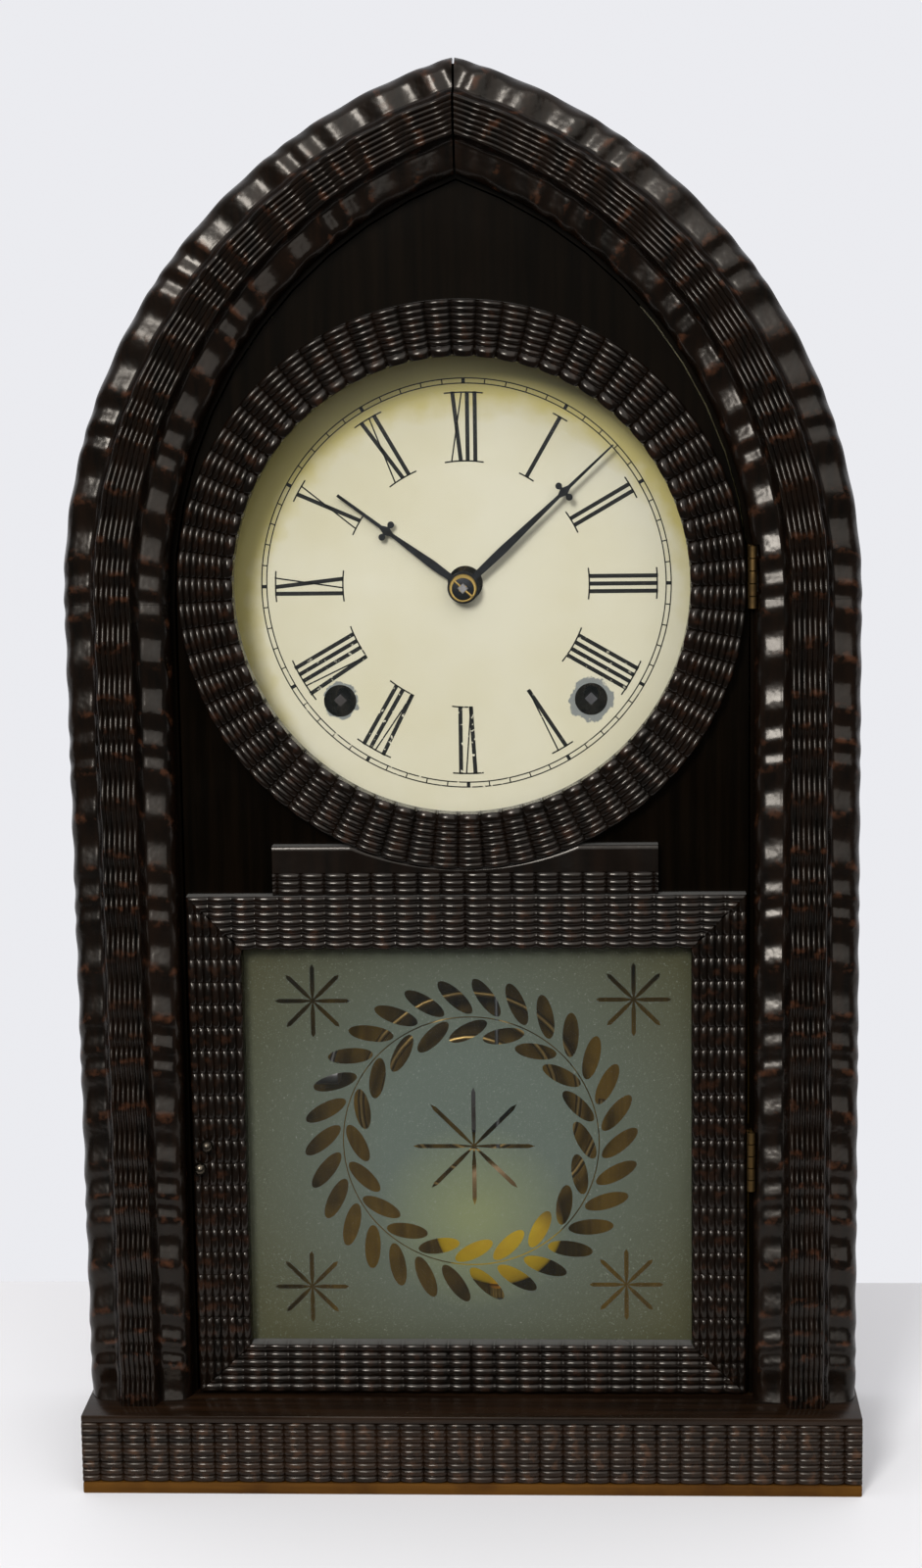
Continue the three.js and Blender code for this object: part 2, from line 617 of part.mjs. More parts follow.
function makeHinges() {
  const names = ["upper", "lower"];
  hingeHeights().forEach((height, i) => {
    const [z0, z1] = hingeSpan(height);
    const axis = [HINGE_AXIS_X, HINGE_AXIS_Y];
    const bore = rodAlongZ(axis, [z0 - BURIED, z1 + BURIED], HINGE_PIN_RADIUS + HINGE_PLAY, HINGE_SIDES);
    const doorLeaf = hingeLeaf(DOOR_LEAF_X, height, (knuckle) => knuckle % 2 === 0);
    addPart(`hinge_${names[i]}_door_leaf`, cut(doorLeaf, bore), dullBrass);
    const pin = rodAlongZ(axis, [z0, z1], HINGE_PIN_RADIUS, HINGE_SIDES);
    const caseLeaf = hingeLeaf(CASE_LEAF_X, height, (knuckle) => knuckle % 2 === 1);
    addPart(`hinge_${names[i]}_case_leaf`, join(caseLeaf, pin), dullBrass);
  });
}

// Door panel, round bezel, plinth, tablet frame and the two panes
function makeDoor() {
  const tabletHole = [
    [-TABLET_HALF_WIDTH - GLASS_REBATE, TABLET_BOTTOM - GLASS_REBATE],
    [TABLET_HALF_WIDTH + GLASS_REBATE, TABLET_BOTTOM - GLASS_REBATE],
    [TABLET_HALF_WIDTH + GLASS_REBATE, TABLET_TOP + GLASS_REBATE],
    [-TABLET_HALF_WIDTH - GLASS_REBATE, TABLET_TOP + GLASS_REBATE],
  ];
  const roundHole = circle([0, RING_HEIGHT], RING_INNER_RADIUS + GLASS_REBATE, RING_SIDES);
  const outline = archOutline(DOOR_HALF_WIDTH, DOOR_BOTTOM);
  const panel = plate(shapeOf(outline, [tabletHole, roundHole]), [DOOR_FRONT_Y, DOOR_BACK_Y]);
  addPart("door_panel", cut(panel, ...hingeHeights().map(doorLeafMortise), ...doorBores()), veneer);

  const ringReeds = reeds(RING_INNER_RADIUS, RING_WIDTH, RING_THICKNESS, reedCount(RING_WIDTH));
  const ringFace = ringReeds.map(([radius, height]) => [radius, DOOR_FRONT_Y - height]);
  const ringBack = [[RING_OUTER_RADIUS, DOOR_FRONT_Y], [RING_INNER_RADIUS, DOOR_FRONT_Y]];
  const ringProfile = [...ringFace, ...ringBack, ringFace[0]];
  addPart("bezel_ring", turned(ringProfile, [0, RING_HEIGHT], RING_SIDES), darkVarnish);

  makePlinth();
  makeTabletFrame();

  const glassY = [DOOR_FRONT_Y + GLASS_CLEARANCE, DOOR_FRONT_Y + GLASS_CLEARANCE + GLASS_THICKNESS];
  const lap = GLASS_REBATE - GLASS_CLEARANCE;
  const discRadius = RING_INNER_RADIUS + lap;
  addPart("dial_glass", rodAlongY([0, RING_HEIGHT], glassY, discRadius, RING_SIDES), clearGlass);
  const paneHalf = TABLET_HALF_WIDTH + lap;
  const paneZ = [TABLET_BOTTOM - lap, TABLET_TOP + lap];
  addPart("tablet_glass", box([-paneHalf, paneHalf], glassY, paneZ), frostedGlass);
}

function makePlinth() {
  const reedBand = PLINTH_REEDS * REED_PITCH;
  const face = reeds(0, reedBand, PLINTH_THICKNESS, PLINTH_REEDS);
  const plain = [[PLINTH_HEIGHT, PLINTH_THICKNESS - REED_DEPTH]];
  const profile = [[0, 0], [PLINTH_HEIGHT, 0], ...[...face, ...plain].reverse()];
  const corner = [-PLINTH_WIDTH / 2, DOOR_FRONT_Y, TABLET_FRAME_TOP + MITRE_GAP];
  const block = strip(profile, PLINTH_WIDTH, [0, 0, 1], [0, -1, 0], [1, 0, 0], corner);
  const ringSpace = rodAlongY(
    [0, RING_HEIGHT],
    [-BASE_DEPTH, 0],
    RING_OUTER_RADIUS + GLASS_CLEARANCE,
    RING_SIDES,
  );
  addPart("bezel_plinth", cut(block, ringSpace), darkVarnish);
}

function makeTabletFrame() {
  const outerX = RING_OUTER_RADIUS;
  const innerX = TABLET_HALF_WIDTH;
  const height = TABLET_FRAME_TOP - DOOR_BOTTOM;
  const bottomWidth = TABLET_BOTTOM - DOOR_BOTTOM;
  const anyDepth = [-BASE_DEPTH, 0];
  const mitred = (solid, corners) => solid.intersect(plate(shapeOf(corners), anyDepth));
  const side = reededProfile(TABLET_STRIP_WIDTH, TABLET_STRIP_THICKNESS);
  const stile = strip(side, height, [-1, 0, 0], [0, -1, 0], [0, 0, 1], [outerX, DOOR_FRONT_Y, DOOR_BOTTOM]);
  const stileCut = mitred(stile, [
    [outerX, DOOR_BOTTOM + MITRE_GAP],
    [outerX, TABLET_FRAME_TOP - MITRE_GAP],
    [innerX, TABLET_TOP - MITRE_GAP],
    [innerX, TABLET_BOTTOM + MITRE_GAP],
  ]);
  addPart("tablet_stile_right", stileCut, darkVarnish);
  const leftBores = doorBores().map((bore) => bore.mirror([1, 0, 0]));
  addMirrored("tablet_stile_left", cut(stileCut, ...leftBores), darkVarnish);

  const topCorner = [outerX, DOOR_FRONT_Y, TABLET_FRAME_TOP];
  const top = strip(side, 2 * outerX, [0, 0, -1], [0, -1, 0], [-1, 0, 0], topCorner);
  addPart("tablet_rail_top", mitred(top, [
    [-outerX + MITRE_GAP, TABLET_FRAME_TOP],
    [-innerX, TABLET_TOP],
    [innerX, TABLET_TOP],
    [outerX - MITRE_GAP, TABLET_FRAME_TOP],
  ]), darkVarnish);

  const low = reededProfile(bottomWidth, TABLET_STRIP_THICKNESS);
  const lowCorner = [-outerX, DOOR_FRONT_Y, DOOR_BOTTOM];
  const bottom = strip(low, 2 * outerX, [0, 0, 1], [0, -1, 0], [1, 0, 0], lowCorner);
  addPart("tablet_rail_bottom", mitred(bottom, [
    [-outerX + MITRE_GAP, DOOR_BOTTOM],
    [outerX - MITRE_GAP, DOOR_BOTTOM],
    [innerX, TABLET_BOTTOM],
    [-innerX, TABLET_BOTTOM],
  ]), darkVarnish);
}

// Turning latch with its knob, and the fixed pull below it
const LATCH_CENTRE = [LATCH_X, LATCH_HEIGHT];
const PULL_CENTRE = [LATCH_X - PULL_OFFSET, LATCH_HEIGHT - PULL_DROP];
const STRIP_FACE_Y = DOOR_FRONT_Y - TABLET_STRIP_THICKNESS;

function doorBores() {
  const through = [-BASE_DEPTH, DOOR_BACK_Y + BURIED];
  const radius = KNOB_STEM_RADIUS + HINGE_PLAY;
  return [LATCH_CENTRE, PULL_CENTRE].map((centre) => rodAlongY(centre, through, radius));
}

function knob(centre, stemBackY) {
  const ballY = STRIP_FACE_Y - KNOB_RADIUS - HINGE_PLAY;
  const stem = rodAlongY(centre, [ballY, stemBackY], KNOB_STEM_RADIUS);
  return join(stem, ball([centre[0], ballY, centre[1]], KNOB_RADIUS));
}

function makeLatch() {
  const hookY = [DOOR_BACK_Y + GLASS_CLEARANCE, DOOR_BACK_Y + GLASS_CLEARANCE + LATCH_THICKNESS];
  const [x, z] = LATCH_CENTRE;
  const hookX = [x - LATCH_WIDTH / 2, x + LATCH_WIDTH / 2];
  const hook = box(hookX, hookY, [z - LATCH_LENGTH, z + LATCH_WIDTH / 2]);
  addPart("door_latch", join(knob(LATCH_CENTRE, hookY[1]), hook), dullBrass);
  addPart("door_pull", knob(PULL_CENTRE, DOOR_BACK_Y), dullBrass);
}

// Dial, its rails and the hands
function makeDial() {
  const half = OPENING_HALF_WIDTH - DIAL_EDGE_GAP;
  const top = RING_HEIGHT + DIAL_HEIGHT / 2;
  const bottom = RING_HEIGHT - DIAL_HEIGHT / 2;
  const outline = [
    [-half, bottom],
    [half, bottom],
    [half, top - DIAL_CORNER],
    [half - DIAL_CORNER, top],
    [-half + DIAL_CORNER, top],
    [-half, top - DIAL_CORNER],
  ];
  const holes = [
    circle([0, CENTRE_Z], DIAL_CENTRE_HOLE_RADIUS, FINE_SIDES),
    ...[TIME_GREAT, STRIKE_GREAT].map((centre) => circle(centre, WINDING_HOLE_RADIUS, FINE_SIDES)),
  ];
  addPart("dial_plate", plate(shapeOf(outline, holes), [DIAL_FRONT_Y, DIAL_BACK_Y]), ivoryPaint);

  const railX = [SIDE_HALF_WIDTH - SIDE_THICKNESS - DIAL_RAIL_WIDTH, SIDE_HALF_WIDTH - SIDE_THICKNESS];
  const railY = [DIAL_BACK_Y, DIAL_BACK_Y + DIAL_RAIL_DEPTH];
  const rail = box(railX, railY, [SPRINGING_HEIGHT - DIAL_RAIL_HEIGHT, SPRINGING_HEIGHT]);
  addPart("dial_rail_right", rail, pine);
  addMirrored("dial_rail_left", rail, pine);
}

// A hand with a cross near its tip, drawn pointing up and turned clockwise by an angle in degrees
function hand(length, crossAt, boreRadius, y0, angle) {
  const half = [
    [HAND_STEM_HALF_WIDTH, HAND_ROOT_RADIUS],
    [HAND_STEM_HALF_WIDTH / 2, crossAt - HAND_CROSS_HALF_WIDTH],
    [HAND_CROSS_HALF_WIDTH, crossAt - HAND_STEM_HALF_WIDTH],
    [HAND_CROSS_HALF_WIDTH, crossAt + HAND_STEM_HALF_WIDTH],
    [HAND_STEM_HALF_WIDTH, crossAt + HAND_CROSS_HALF_WIDTH],
    [HAND_TIP_HALF_WIDTH, length],
  ];
  const eye = circle([0, 0], HAND_ROOT_RADIUS, FINE_SIDES);
  const blade = [[HAND_STEM_HALF_WIDTH, 0], ...half];
  const outline = [...blade, ...blade.map(([x, z]) => [-x, z]).reverse()];
  const depth = [y0, y0 + HAND_THICKNESS];
  const flat = join(plate(shapeOf(outline), depth), plate(shapeOf(eye), depth));
  const bored = cut(flat, rodAlongY([0, 0], [y0 - BURIED, depth[1] + BURIED], boreRadius));
  return bored.rotate([0, angle, 0]).translate([0, 0, CENTRE_Z]);
}

const HOUR_HAND_Y = DIAL_FRONT_Y - HAND_SPACING - HAND_THICKNESS;
const MINUTE_HAND_Y = HOUR_HAND_Y - HAND_SPACING;
const COLLET_Y = MINUTE_HAND_Y - COLLET_THICKNESS - HINGE_PLAY;

function makeHands() {
  const hourBore = HOUR_PIPE_RADIUS + HINGE_PLAY;
  const minuteBore = CENTRE_ARBOR_RADIUS + HINGE_PLAY;
  const hour = hand(HOUR_HAND_LENGTH, HOUR_HAND_CROSS, hourBore, HOUR_HAND_Y, HOUR_HAND_ANGLE);
  addPart("hour_hand", hour, blackSteel);
  const reach = RING_INNER_RADIUS - MINUTE_HAND_TIP_GAP;
  const minute = hand(reach, MINUTE_HAND_CROSS, minuteBore, MINUTE_HAND_Y, MINUTE_HAND_ANGLE);
  addPart("minute_hand", minute, blackSteel);
  const rim = COLLET_Y + COLLET_THICKNESS;
  const profile = [
    [minuteBore, COLLET_Y],
    [minuteBore, rim],
    [COLLET_RADIUS, rim],
    [COLLET_RADIUS - COLLET_THICKNESS, COLLET_Y],
    [minuteBore, COLLET_Y],
  ];
  addPart("hand_collet", turned(profile.reverse(), [0, CENTRE_Z], FINE_SIDES), brass);
}

// Movement: where each arbor stands, from the pitch circles that meet
function meetingPoint(a, fromA, b, fromB, side) {
  const dx = b[0] - a[0];
  const dz = b[1] - a[1];
  const distance = Math.hypot(dx, dz);
  const along = (fromA ** 2 - fromB ** 2 + distance ** 2) / (2 * distance);
  const off = side * Math.sqrt(fromA ** 2 - along ** 2);
  return [a[0] + (dx * along - dz * off) / distance, a[1] + (dz * along + dx * off) / distance];
}

function polar([x, z], radius, angle) {
  return [x + radius * Math.cos(angle), z + radius * Math.sin(angle)];
}

function direction(from, to) {
  return Math.atan2(to[1] - from[1], to[0] - from[0]);
}

function pinionRadius(wheelRadius, wheelTeeth, trundles) {
  return (wheelRadius * trundles) / wheelTeeth;
}

const SECOND_PINION_RADIUS = pinionRadius(GREAT_WHEEL_RADIUS, GREAT_WHEEL_TEETH, SECOND_PINION_TRUNDLES);
const CENTRE_PINION_RADIUS = pinionRadius(SECOND_WHEEL_RADIUS, SECOND_WHEEL_TEETH, SMALL_PINION_TRUNDLES);
const THIRD_PINION_RADIUS = pinionRadius(CENTRE_WHEEL_RADIUS, CENTRE_WHEEL_TEETH, SMALL_PINION_TRUNDLES);
const ESCAPE_PINION_RADIUS = pinionRadius(THIRD_WHEEL_RADIUS, THIRD_WHEEL_TEETH, SMALL_PINION_TRUNDLES);
const CANNON_RADIUS = pinionRadius(MINUTE_WHEEL_RADIUS, MINUTE_WHEEL_TEETH, CANNON_TRUNDLES);
const MOTION_DISTANCE = MINUTE_WHEEL_RADIUS + CANNON_RADIUS;
const HOUR_WHEEL_RADIUS = (MOTION_DISTANCE * HOUR_WHEEL_TEETH) / (HOUR_WHEEL_TEETH + CANNON_TRUNDLES);
const MINUTE_PINION_RADIUS = MOTION_DISTANCE - HOUR_WHEEL_RADIUS;
const FLY_PINION_RADIUS = pinionRadius(WARNING_WHEEL_RADIUS, WARNING_WHEEL_TEETH, SMALL_PINION_TRUNDLES);
const GREAT_TO_SECOND = GREAT_WHEEL_RADIUS + SECOND_PINION_RADIUS;
const SECOND_TO_CENTRE = SECOND_WHEEL_RADIUS + CENTRE_PINION_RADIUS;
const CENTRE_TO_THIRD = CENTRE_WHEEL_RADIUS + THIRD_PINION_RADIUS;
const THIRD_TO_ESCAPE = THIRD_WHEEL_RADIUS + ESCAPE_PINION_RADIUS;
const WARNING_TO_FLY = WARNING_WHEEL_RADIUS + FLY_PINION_RADIUS;

const CENTRE = [0, CENTRE_Z];
const TIME_GREAT = [WINDING_ARBOR_OFFSET, CENTRE_Z - WINDING_ARBOR_DROP];
const STRIKE_GREAT = [-WINDING_ARBOR_OFFSET, CENTRE_Z - WINDING_ARBOR_DROP];
const SECOND = meetingPoint(CENTRE, SECOND_TO_CENTRE, TIME_GREAT, GREAT_TO_SECOND, 1);
const PIN_ARBOR = [-SECOND[0], SECOND[1]];
const ESCAPE = [PENDULUM_OFFSET, CENTRE_Z + ESCAPE_ARBOR_RISE];
const THIRD = meetingPoint(CENTRE, CENTRE_TO_THIRD, ESCAPE, THIRD_TO_ESCAPE, -1);
const MINUTE_ARBOR = polar(CENTRE, MOTION_DISTANCE, degToRad(MINUTE_ARBOR_DIRECTION));
const WARNING = polar(PIN_ARBOR, SECOND_TO_CENTRE, degToRad(WARNING_ARBOR_DIRECTION));
const FLY = polar(WARNING, WARNING_TO_FLY, degToRad(FLY_ARBOR_DIRECTION));
const HAMMER_ARBOR = [-HAMMER_ARBOR_OFFSET, CENTRE_Z - HAMMER_ARBOR_DROP];

// Depths of the wheels, each layer behind the last and clear of its pinion's shrouds
const LANTERN_REACH = MESH_SIDE_PLAY + SHROUD_THICKNESS;
const HOUR_WHEEL_Y = PLATE_INNER_Y + LANTERN_REACH + LAYER_GAP;
const MINUTE_WHEEL_Y = HOUR_WHEEL_Y + WHEEL_THICKNESS + LANTERN_REACH + LAYER_GAP;
const CENTRE_WHEEL_Y = MINUTE_WHEEL_Y + WHEEL_THICKNESS + LANTERN_REACH + LAYER_GAP;
const WARNING_WHEEL_Y = CENTRE_WHEEL_Y + WHEEL_THICKNESS + LAYER_GAP;
const THIRD_WHEEL_Y = WARNING_WHEEL_Y + WHEEL_THICKNESS + LAYER_GAP;
const SECOND_WHEEL_Y = THIRD_WHEEL_Y + WHEEL_THICKNESS + LAYER_GAP;
const PIN_WHEEL_Y = SECOND_WHEEL_Y + WHEEL_THICKNESS + LANTERN_REACH + LAYER_GAP;
const BACK_PLATE_Y = PIN_WHEEL_Y + WHEEL_THICKNESS + LANTERN_REACH + LAYER_GAP;
const BACK_PLATE_BACK_Y = BACK_PLATE_Y + PLATE_THICKNESS;
const RATCHET_Y = PLATE_INNER_Y + LAYER_GAP;
const GREAT_WHEEL_Y = RATCHET_Y + WHEEL_THICKNESS + LAYER_GAP;
const SPRING_Y = GREAT_WHEEL_Y + GREAT_WHEEL_THICKNESS + LANTERN_REACH + LAYER_GAP;
const ESCAPE_WHEEL_Y = PLATE_FRONT_Y - ESCAPE_WHEEL_LEAD;
const HAMMER_Y = PIN_WHEEL_Y - STRIKE_PIN_LENGTH / 2;

// A wheel with pointed teeth, one of them on the line at the given angle, and its arms crossed out
function wheel(centre, radius, teeth, toothAngle, y0, windows, thickness = WHEEL_THICKNESS) {
  const pitch = (2 * Math.PI * radius) / teeth;
  const outline = [];
  for (let i = 0; i < teeth; i += 1) {
    const tip = toothAngle + (2 * Math.PI * i) / teeth;
    outline.push(polar(centre, radius + TOOTH_TIP_SHARE * pitch, tip));
    outline.push(polar(centre, radius - TOOTH_ROOT_SHARE * pitch, tip + Math.PI / teeth));
  }
  return plate(shapeOf(outline, windows), [y0, y0 + thickness]);
}

// Windows that leave the arms between a hub and a rim
function crossings(centre, hubRadius, rimRadius) {
  const windows = [];
  for (let arm = 0; arm < WHEEL_ARMS; arm += 1) {
    const middle = ((arm + 0.5) * 2 * Math.PI) / WHEEL_ARMS;
    const reach = (radius) => Math.PI / WHEEL_ARMS - Math.asin(WHEEL_ARM_HALF_WIDTH / radius);
    windows.push([
      polar(centre, rimRadius, middle - reach(rimRadius)),
      polar(centre, rimRadius, middle),
      polar(centre, rimRadius, middle + reach(rimRadius)),
      polar(centre, hubRadius, middle + reach(hubRadius)),
      polar(centre, hubRadius, middle - reach(hubRadius)),
    ]);
  }
  return windows;
}

function crossedWheel(centre, radius, teeth, toothAngle, y0, arborRadius, thickness) {
  const rim = radius * (1 - (RIM_PITCHES * 2 * Math.PI) / teeth);
  const windows = crossings(centre, arborRadius + HUB_WALL, rim);
  return wheel(centre, radius, teeth, toothAngle, y0, windows, thickness);
}

// A lantern pinion round a wheel's thickness, with a space between trundles at the given angle
function lantern(centre, radius, trundles, spaceAngle, wheelY, thickness = WHEEL_THICKNESS) {
  const trundleRadius = (TRUNDLE_SHARE * 2 * Math.PI * radius) / trundles;
  const inner = [wheelY - MESH_SIDE_PLAY, wheelY + thickness + MESH_SIDE_PLAY];
  const shroudRadius = radius + trundleRadius + SHROUD_RIM;
  const buried = SHROUD_THICKNESS / 2;
  const pieces = [
    rodAlongY(centre, [inner[0] - SHROUD_THICKNESS, inner[0]], shroudRadius),
    rodAlongY(centre, [inner[1], inner[1] + SHROUD_THICKNESS], shroudRadius),
  ];
  for (const place of circle(centre, radius, trundles, spaceAngle + Math.PI / trundles)) {
    pieces.push(rodAlongY(place, [inner[0] - buried, inner[1] + buried], trundleRadius, TRUNDLE_SIDES));
  }
  return join(...pieces);
}

function arbor(centre, radius = ARBOR_RADIUS, frontY = PLATE_FRONT_Y + END_SHAKE) {
  return rodAlongY(centre, [frontY, BACK_PLATE_BACK_Y - END_SHAKE], radius, ARBOR_SIDES);
}

// Plates, with holes for the arbors, pillars on the back plate and strips behind it
function plateOutline() {
  const bottom = CENTRE_Z - PLATE_FOOT_DROP;
  const half = PLATE_WIDTH / 2;
  return [[-half, bottom], [half, bottom], [half, bottom + PLATE_HEIGHT], [-half, bottom + PLATE_HEIGHT]];
}

function plateHoles(centreRadius) {
  const slim = [SECOND, THIRD, ESCAPE, PIN_ARBOR, WARNING, FLY, HAMMER_ARBOR];
  const [left, bottom] = plateOutline()[0];
  const top = bottom + PLATE_HEIGHT;
  const window = (x, z) => [
    [x, z],
    [x + PLATE_WINDOW_WIDTH, z],
    [x + PLATE_WINDOW_WIDTH, z + PLATE_WINDOW_HEIGHT],
    [x, z + PLATE_WINDOW_HEIGHT],
  ];
  return [
    ...slim.map((centre) => circle(centre, ARBOR_RADIUS + ARBOR_PLAY, ARBOR_SIDES)),
    ...[TIME_GREAT, STRIKE_GREAT].map((c) => circle(c, WINDING_ARBOR_RADIUS + ARBOR_PLAY, ROUND_SIDES)),
    circle(CENTRE, centreRadius + ARBOR_PLAY, ROUND_SIDES),
    window(-PLATE_WINDOW_WIDTH / 2, bottom + PILLAR_INSET),
    window(left + 2 * PILLAR_INSET, top - PILLAR_INSET - PLATE_WINDOW_HEIGHT),
  ];
}

function makePlates() {
  const frontShape = shapeOf(plateOutline(), plateHoles(HOUR_PIPE_RADIUS));
  const front = plate(frontShape, [PLATE_FRONT_Y, PLATE_INNER_Y]);
  const studEnd = MINUTE_WHEEL_Y + WHEEL_THICKNESS + LAYER_GAP;
  const stud = rodAlongY(MINUTE_ARBOR, [PLATE_FRONT_Y, studEnd], ARBOR_RADIUS);
  addPart("movement_front_plate", join(front, stud), brass);

  const backShape = shapeOf(plateOutline(), plateHoles(CENTRE_ARBOR_RADIUS));
  const back = plate(backShape, [BACK_PLATE_Y, BACK_PLATE_BACK_Y]);
  const pillars = plateOutline().map(([x, z]) => {
    const centre = [x - Math.sign(x) * PILLAR_INSET, z - Math.sign(z - CENTRE_Z) * PILLAR_INSET];
    return rodAlongY(centre, [PLATE_INNER_Y, BACK_PLATE_Y + BURIED], PILLAR_RADIUS);
  });
  addPart("movement_back_plate", join(back, ...pillars), brass);

  const [left, bottom] = plateOutline()[0];
  const top = bottom + PLATE_HEIGHT;
  const stripY = [BACK_PLATE_BACK_Y, BACKBOARD_FRONT_Y];
  const width = [left, -left];
  addPart("movement_strip_lower", box(width, stripY, [bottom, bottom + MOUNTING_STRIP_HEIGHT]), pine);
  addPart("movement_strip_upper", box(width, stripY, [top - MOUNTING_STRIP_HEIGHT, top]), pine);
}

// Winding arbor with its squared end and ratchet, and the great wheel with its click
function windingArbor(centre) {
  const tipY = DIAL_BACK_Y + END_SHAKE;
  const square = rodAlongY(centre, [tipY, PLATE_FRONT_Y], WINDING_ARBOR_RADIUS, SQUARE_SIDES);
  const teeth = [];
  for (let i = 0; i < RATCHET_TEETH; i += 1) {
    const angle = (2 * Math.PI * i) / RATCHET_TEETH;
    teeth.push(polar(centre, RATCHET_RADIUS, angle));
    teeth.push(polar(centre, RATCHET_RADIUS - RATCHET_TOOTH_HEIGHT, angle + Math.PI / RATCHET_TEETH / 2));
  }
  const ratchet = plate(shapeOf(teeth), [RATCHET_Y, RATCHET_Y + WHEEL_THICKNESS]);
  return join(arbor(centre, WINDING_ARBOR_RADIUS, PLATE_FRONT_Y - BURIED), square, ratchet);
}

function greatWheel(centre, driven) {
  const body = crossedWheel(
    centre,
    GREAT_WHEEL_RADIUS,
    GREAT_WHEEL_TEETH,
    direction(centre, driven),
    GREAT_WHEEL_Y,
    WINDING_ARBOR_RADIUS + HUB_WALL,
    GREAT_WHEEL_THICKNESS,
  );
  const bore = rodAlongY(centre, [PLATE_FRONT_Y, BACK_PLATE_Y], WINDING_ARBOR_RADIUS + ARBOR_PLAY);
  const clickStart = centre[0] + RATCHET_RADIUS + END_SHAKE;
  const clickZ = [centre[1] - CLICK_WIDTH / 2, centre[1] + CLICK_WIDTH / 2];
  const click = box([clickStart, clickStart + CLICK_LENGTH], [RATCHET_Y, GREAT_WHEEL_Y + BURIED], clickZ);
  return join(cut(body, bore), click);
}

// A coiled mainspring round an arbor, drawn as one spiral strip
function mainspring([x, z], sense) {
  const steps = SPRING_TURNS * SPRING_STEPS_PER_TURN;
  const spread = SPRING_OUTER_RADIUS - SPRING_INNER_RADIUS;
  const spiral = (offset) => {
    const points = [];
    for (let i = 0; i <= steps; i += 1) {
      const radius = SPRING_INNER_RADIUS + (spread * i) / steps + offset;
      const angle = (2 * Math.PI * i) / SPRING_STEPS_PER_TURN;
      points.push([x + sense * radius * Math.cos(angle), z + radius * Math.sin(angle)]);
    }
    return points;
  };
  const outline = [...spiral(SPRING_STRIP / 2), ...spiral(-SPRING_STRIP / 2).reverse()];
  return plate(shapeOf(outline), [SPRING_Y, SECOND_WHEEL_Y - LAYER_GAP]);
}

function makeWinding() {
  addPart("time_great_wheel", greatWheel(TIME_GREAT, SECOND), brass);
  addPart("time_winding_arbor", windingArbor(TIME_GREAT), steel);
  addPart("time_mainspring", mainspring(TIME_GREAT, 1), steel);
  addPart("strike_great_wheel", greatWheel(STRIKE_GREAT, PIN_ARBOR), brass);
  addPart("strike_winding_arbor", windingArbor(STRIKE_GREAT), steel);
  addPart("strike_mainspring", mainspring(STRIKE_GREAT, -1), steel);
}

// A slow arbor's pinion, driven by a great wheel
function slowPinion(centre, great) {
  const spaceAngle = direction(centre, great);
  const count = SECOND_PINION_TRUNDLES;
  return lantern(centre, SECOND_PINION_RADIUS, count, spaceAngle, GREAT_WHEEL_Y, GREAT_WHEEL_THICKNESS);
}

function smallPinion(centre, radius, driver, wheelY) {
  return lantern(centre, radius, SMALL_PINION_TRUNDLES, direction(centre, driver), wheelY);
}

// A wheel of the trains, with a tooth towards the pinion that it drives
function trainWheel(centre, radius, teeth, driven, y0, arborRadius = ARBOR_RADIUS) {
  return crossedWheel(centre, radius, teeth, direction(centre, driven), y0, arborRadius);
}

// Going train
function makeGoingTrain() {
  addPart("time_second_wheel", join(
    arbor(SECOND),
    trainWheel(SECOND, SECOND_WHEEL_RADIUS, SECOND_WHEEL_TEETH, CENTRE, SECOND_WHEEL_Y),
    slowPinion(SECOND, TIME_GREAT),
  ), brass);
  const toMinute = direction(CENTRE, MINUTE_ARBOR);
  addPart("centre_wheel", join(
    arbor(CENTRE, CENTRE_ARBOR_RADIUS, COLLET_Y - BURIED),
    trainWheel(CENTRE, CENTRE_WHEEL_RADIUS, CENTRE_WHEEL_TEETH, THIRD, CENTRE_WHEEL_Y, CENTRE_ARBOR_RADIUS),
    smallPinion(CENTRE, CENTRE_PINION_RADIUS, SECOND, SECOND_WHEEL_Y),
    lantern(CENTRE, CANNON_RADIUS, CANNON_TRUNDLES, toMinute, MINUTE_WHEEL_Y),
  ), brass);
  addPart("third_wheel", join(
    arbor(THIRD),
    trainWheel(THIRD, THIRD_WHEEL_RADIUS, THIRD_WHEEL_TEETH, ESCAPE, THIRD_WHEEL_Y),
    smallPinion(THIRD, THIRD_PINION_RADIUS, CENTRE, CENTRE_WHEEL_Y),
  ), brass);
  addPart("escape_wheel", join(
    arbor(ESCAPE, ARBOR_RADIUS, ESCAPE_WHEEL_Y - BURIED),
    escapeWheel(),
    smallPinion(ESCAPE, ESCAPE_PINION_RADIUS, THIRD, THIRD_WHEEL_Y),
  ), brass);
}

function escapeWheel() {
  const outline = [];
  const lean = Math.PI / ESCAPE_WHEEL_TEETH / 2;
  const root = ESCAPE_WHEEL_RADIUS - ESCAPE_TOOTH_HEIGHT;
  for (let i = 0; i < ESCAPE_WHEEL_TEETH; i += 1) {
    const tip = Math.PI / 2 + (2 * Math.PI * i) / ESCAPE_WHEEL_TEETH;
    outline.push(polar(ESCAPE, ESCAPE_WHEEL_RADIUS, tip));
    outline.push(polar(ESCAPE, root, tip + lean));
  }
  const windows = crossings(ESCAPE, ARBOR_RADIUS + HUB_WALL, root - ESCAPE_RIM);
  return plate(shapeOf(outline, windows), [ESCAPE_WHEEL_Y, ESCAPE_WHEEL_Y + WHEEL_THICKNESS]);
}

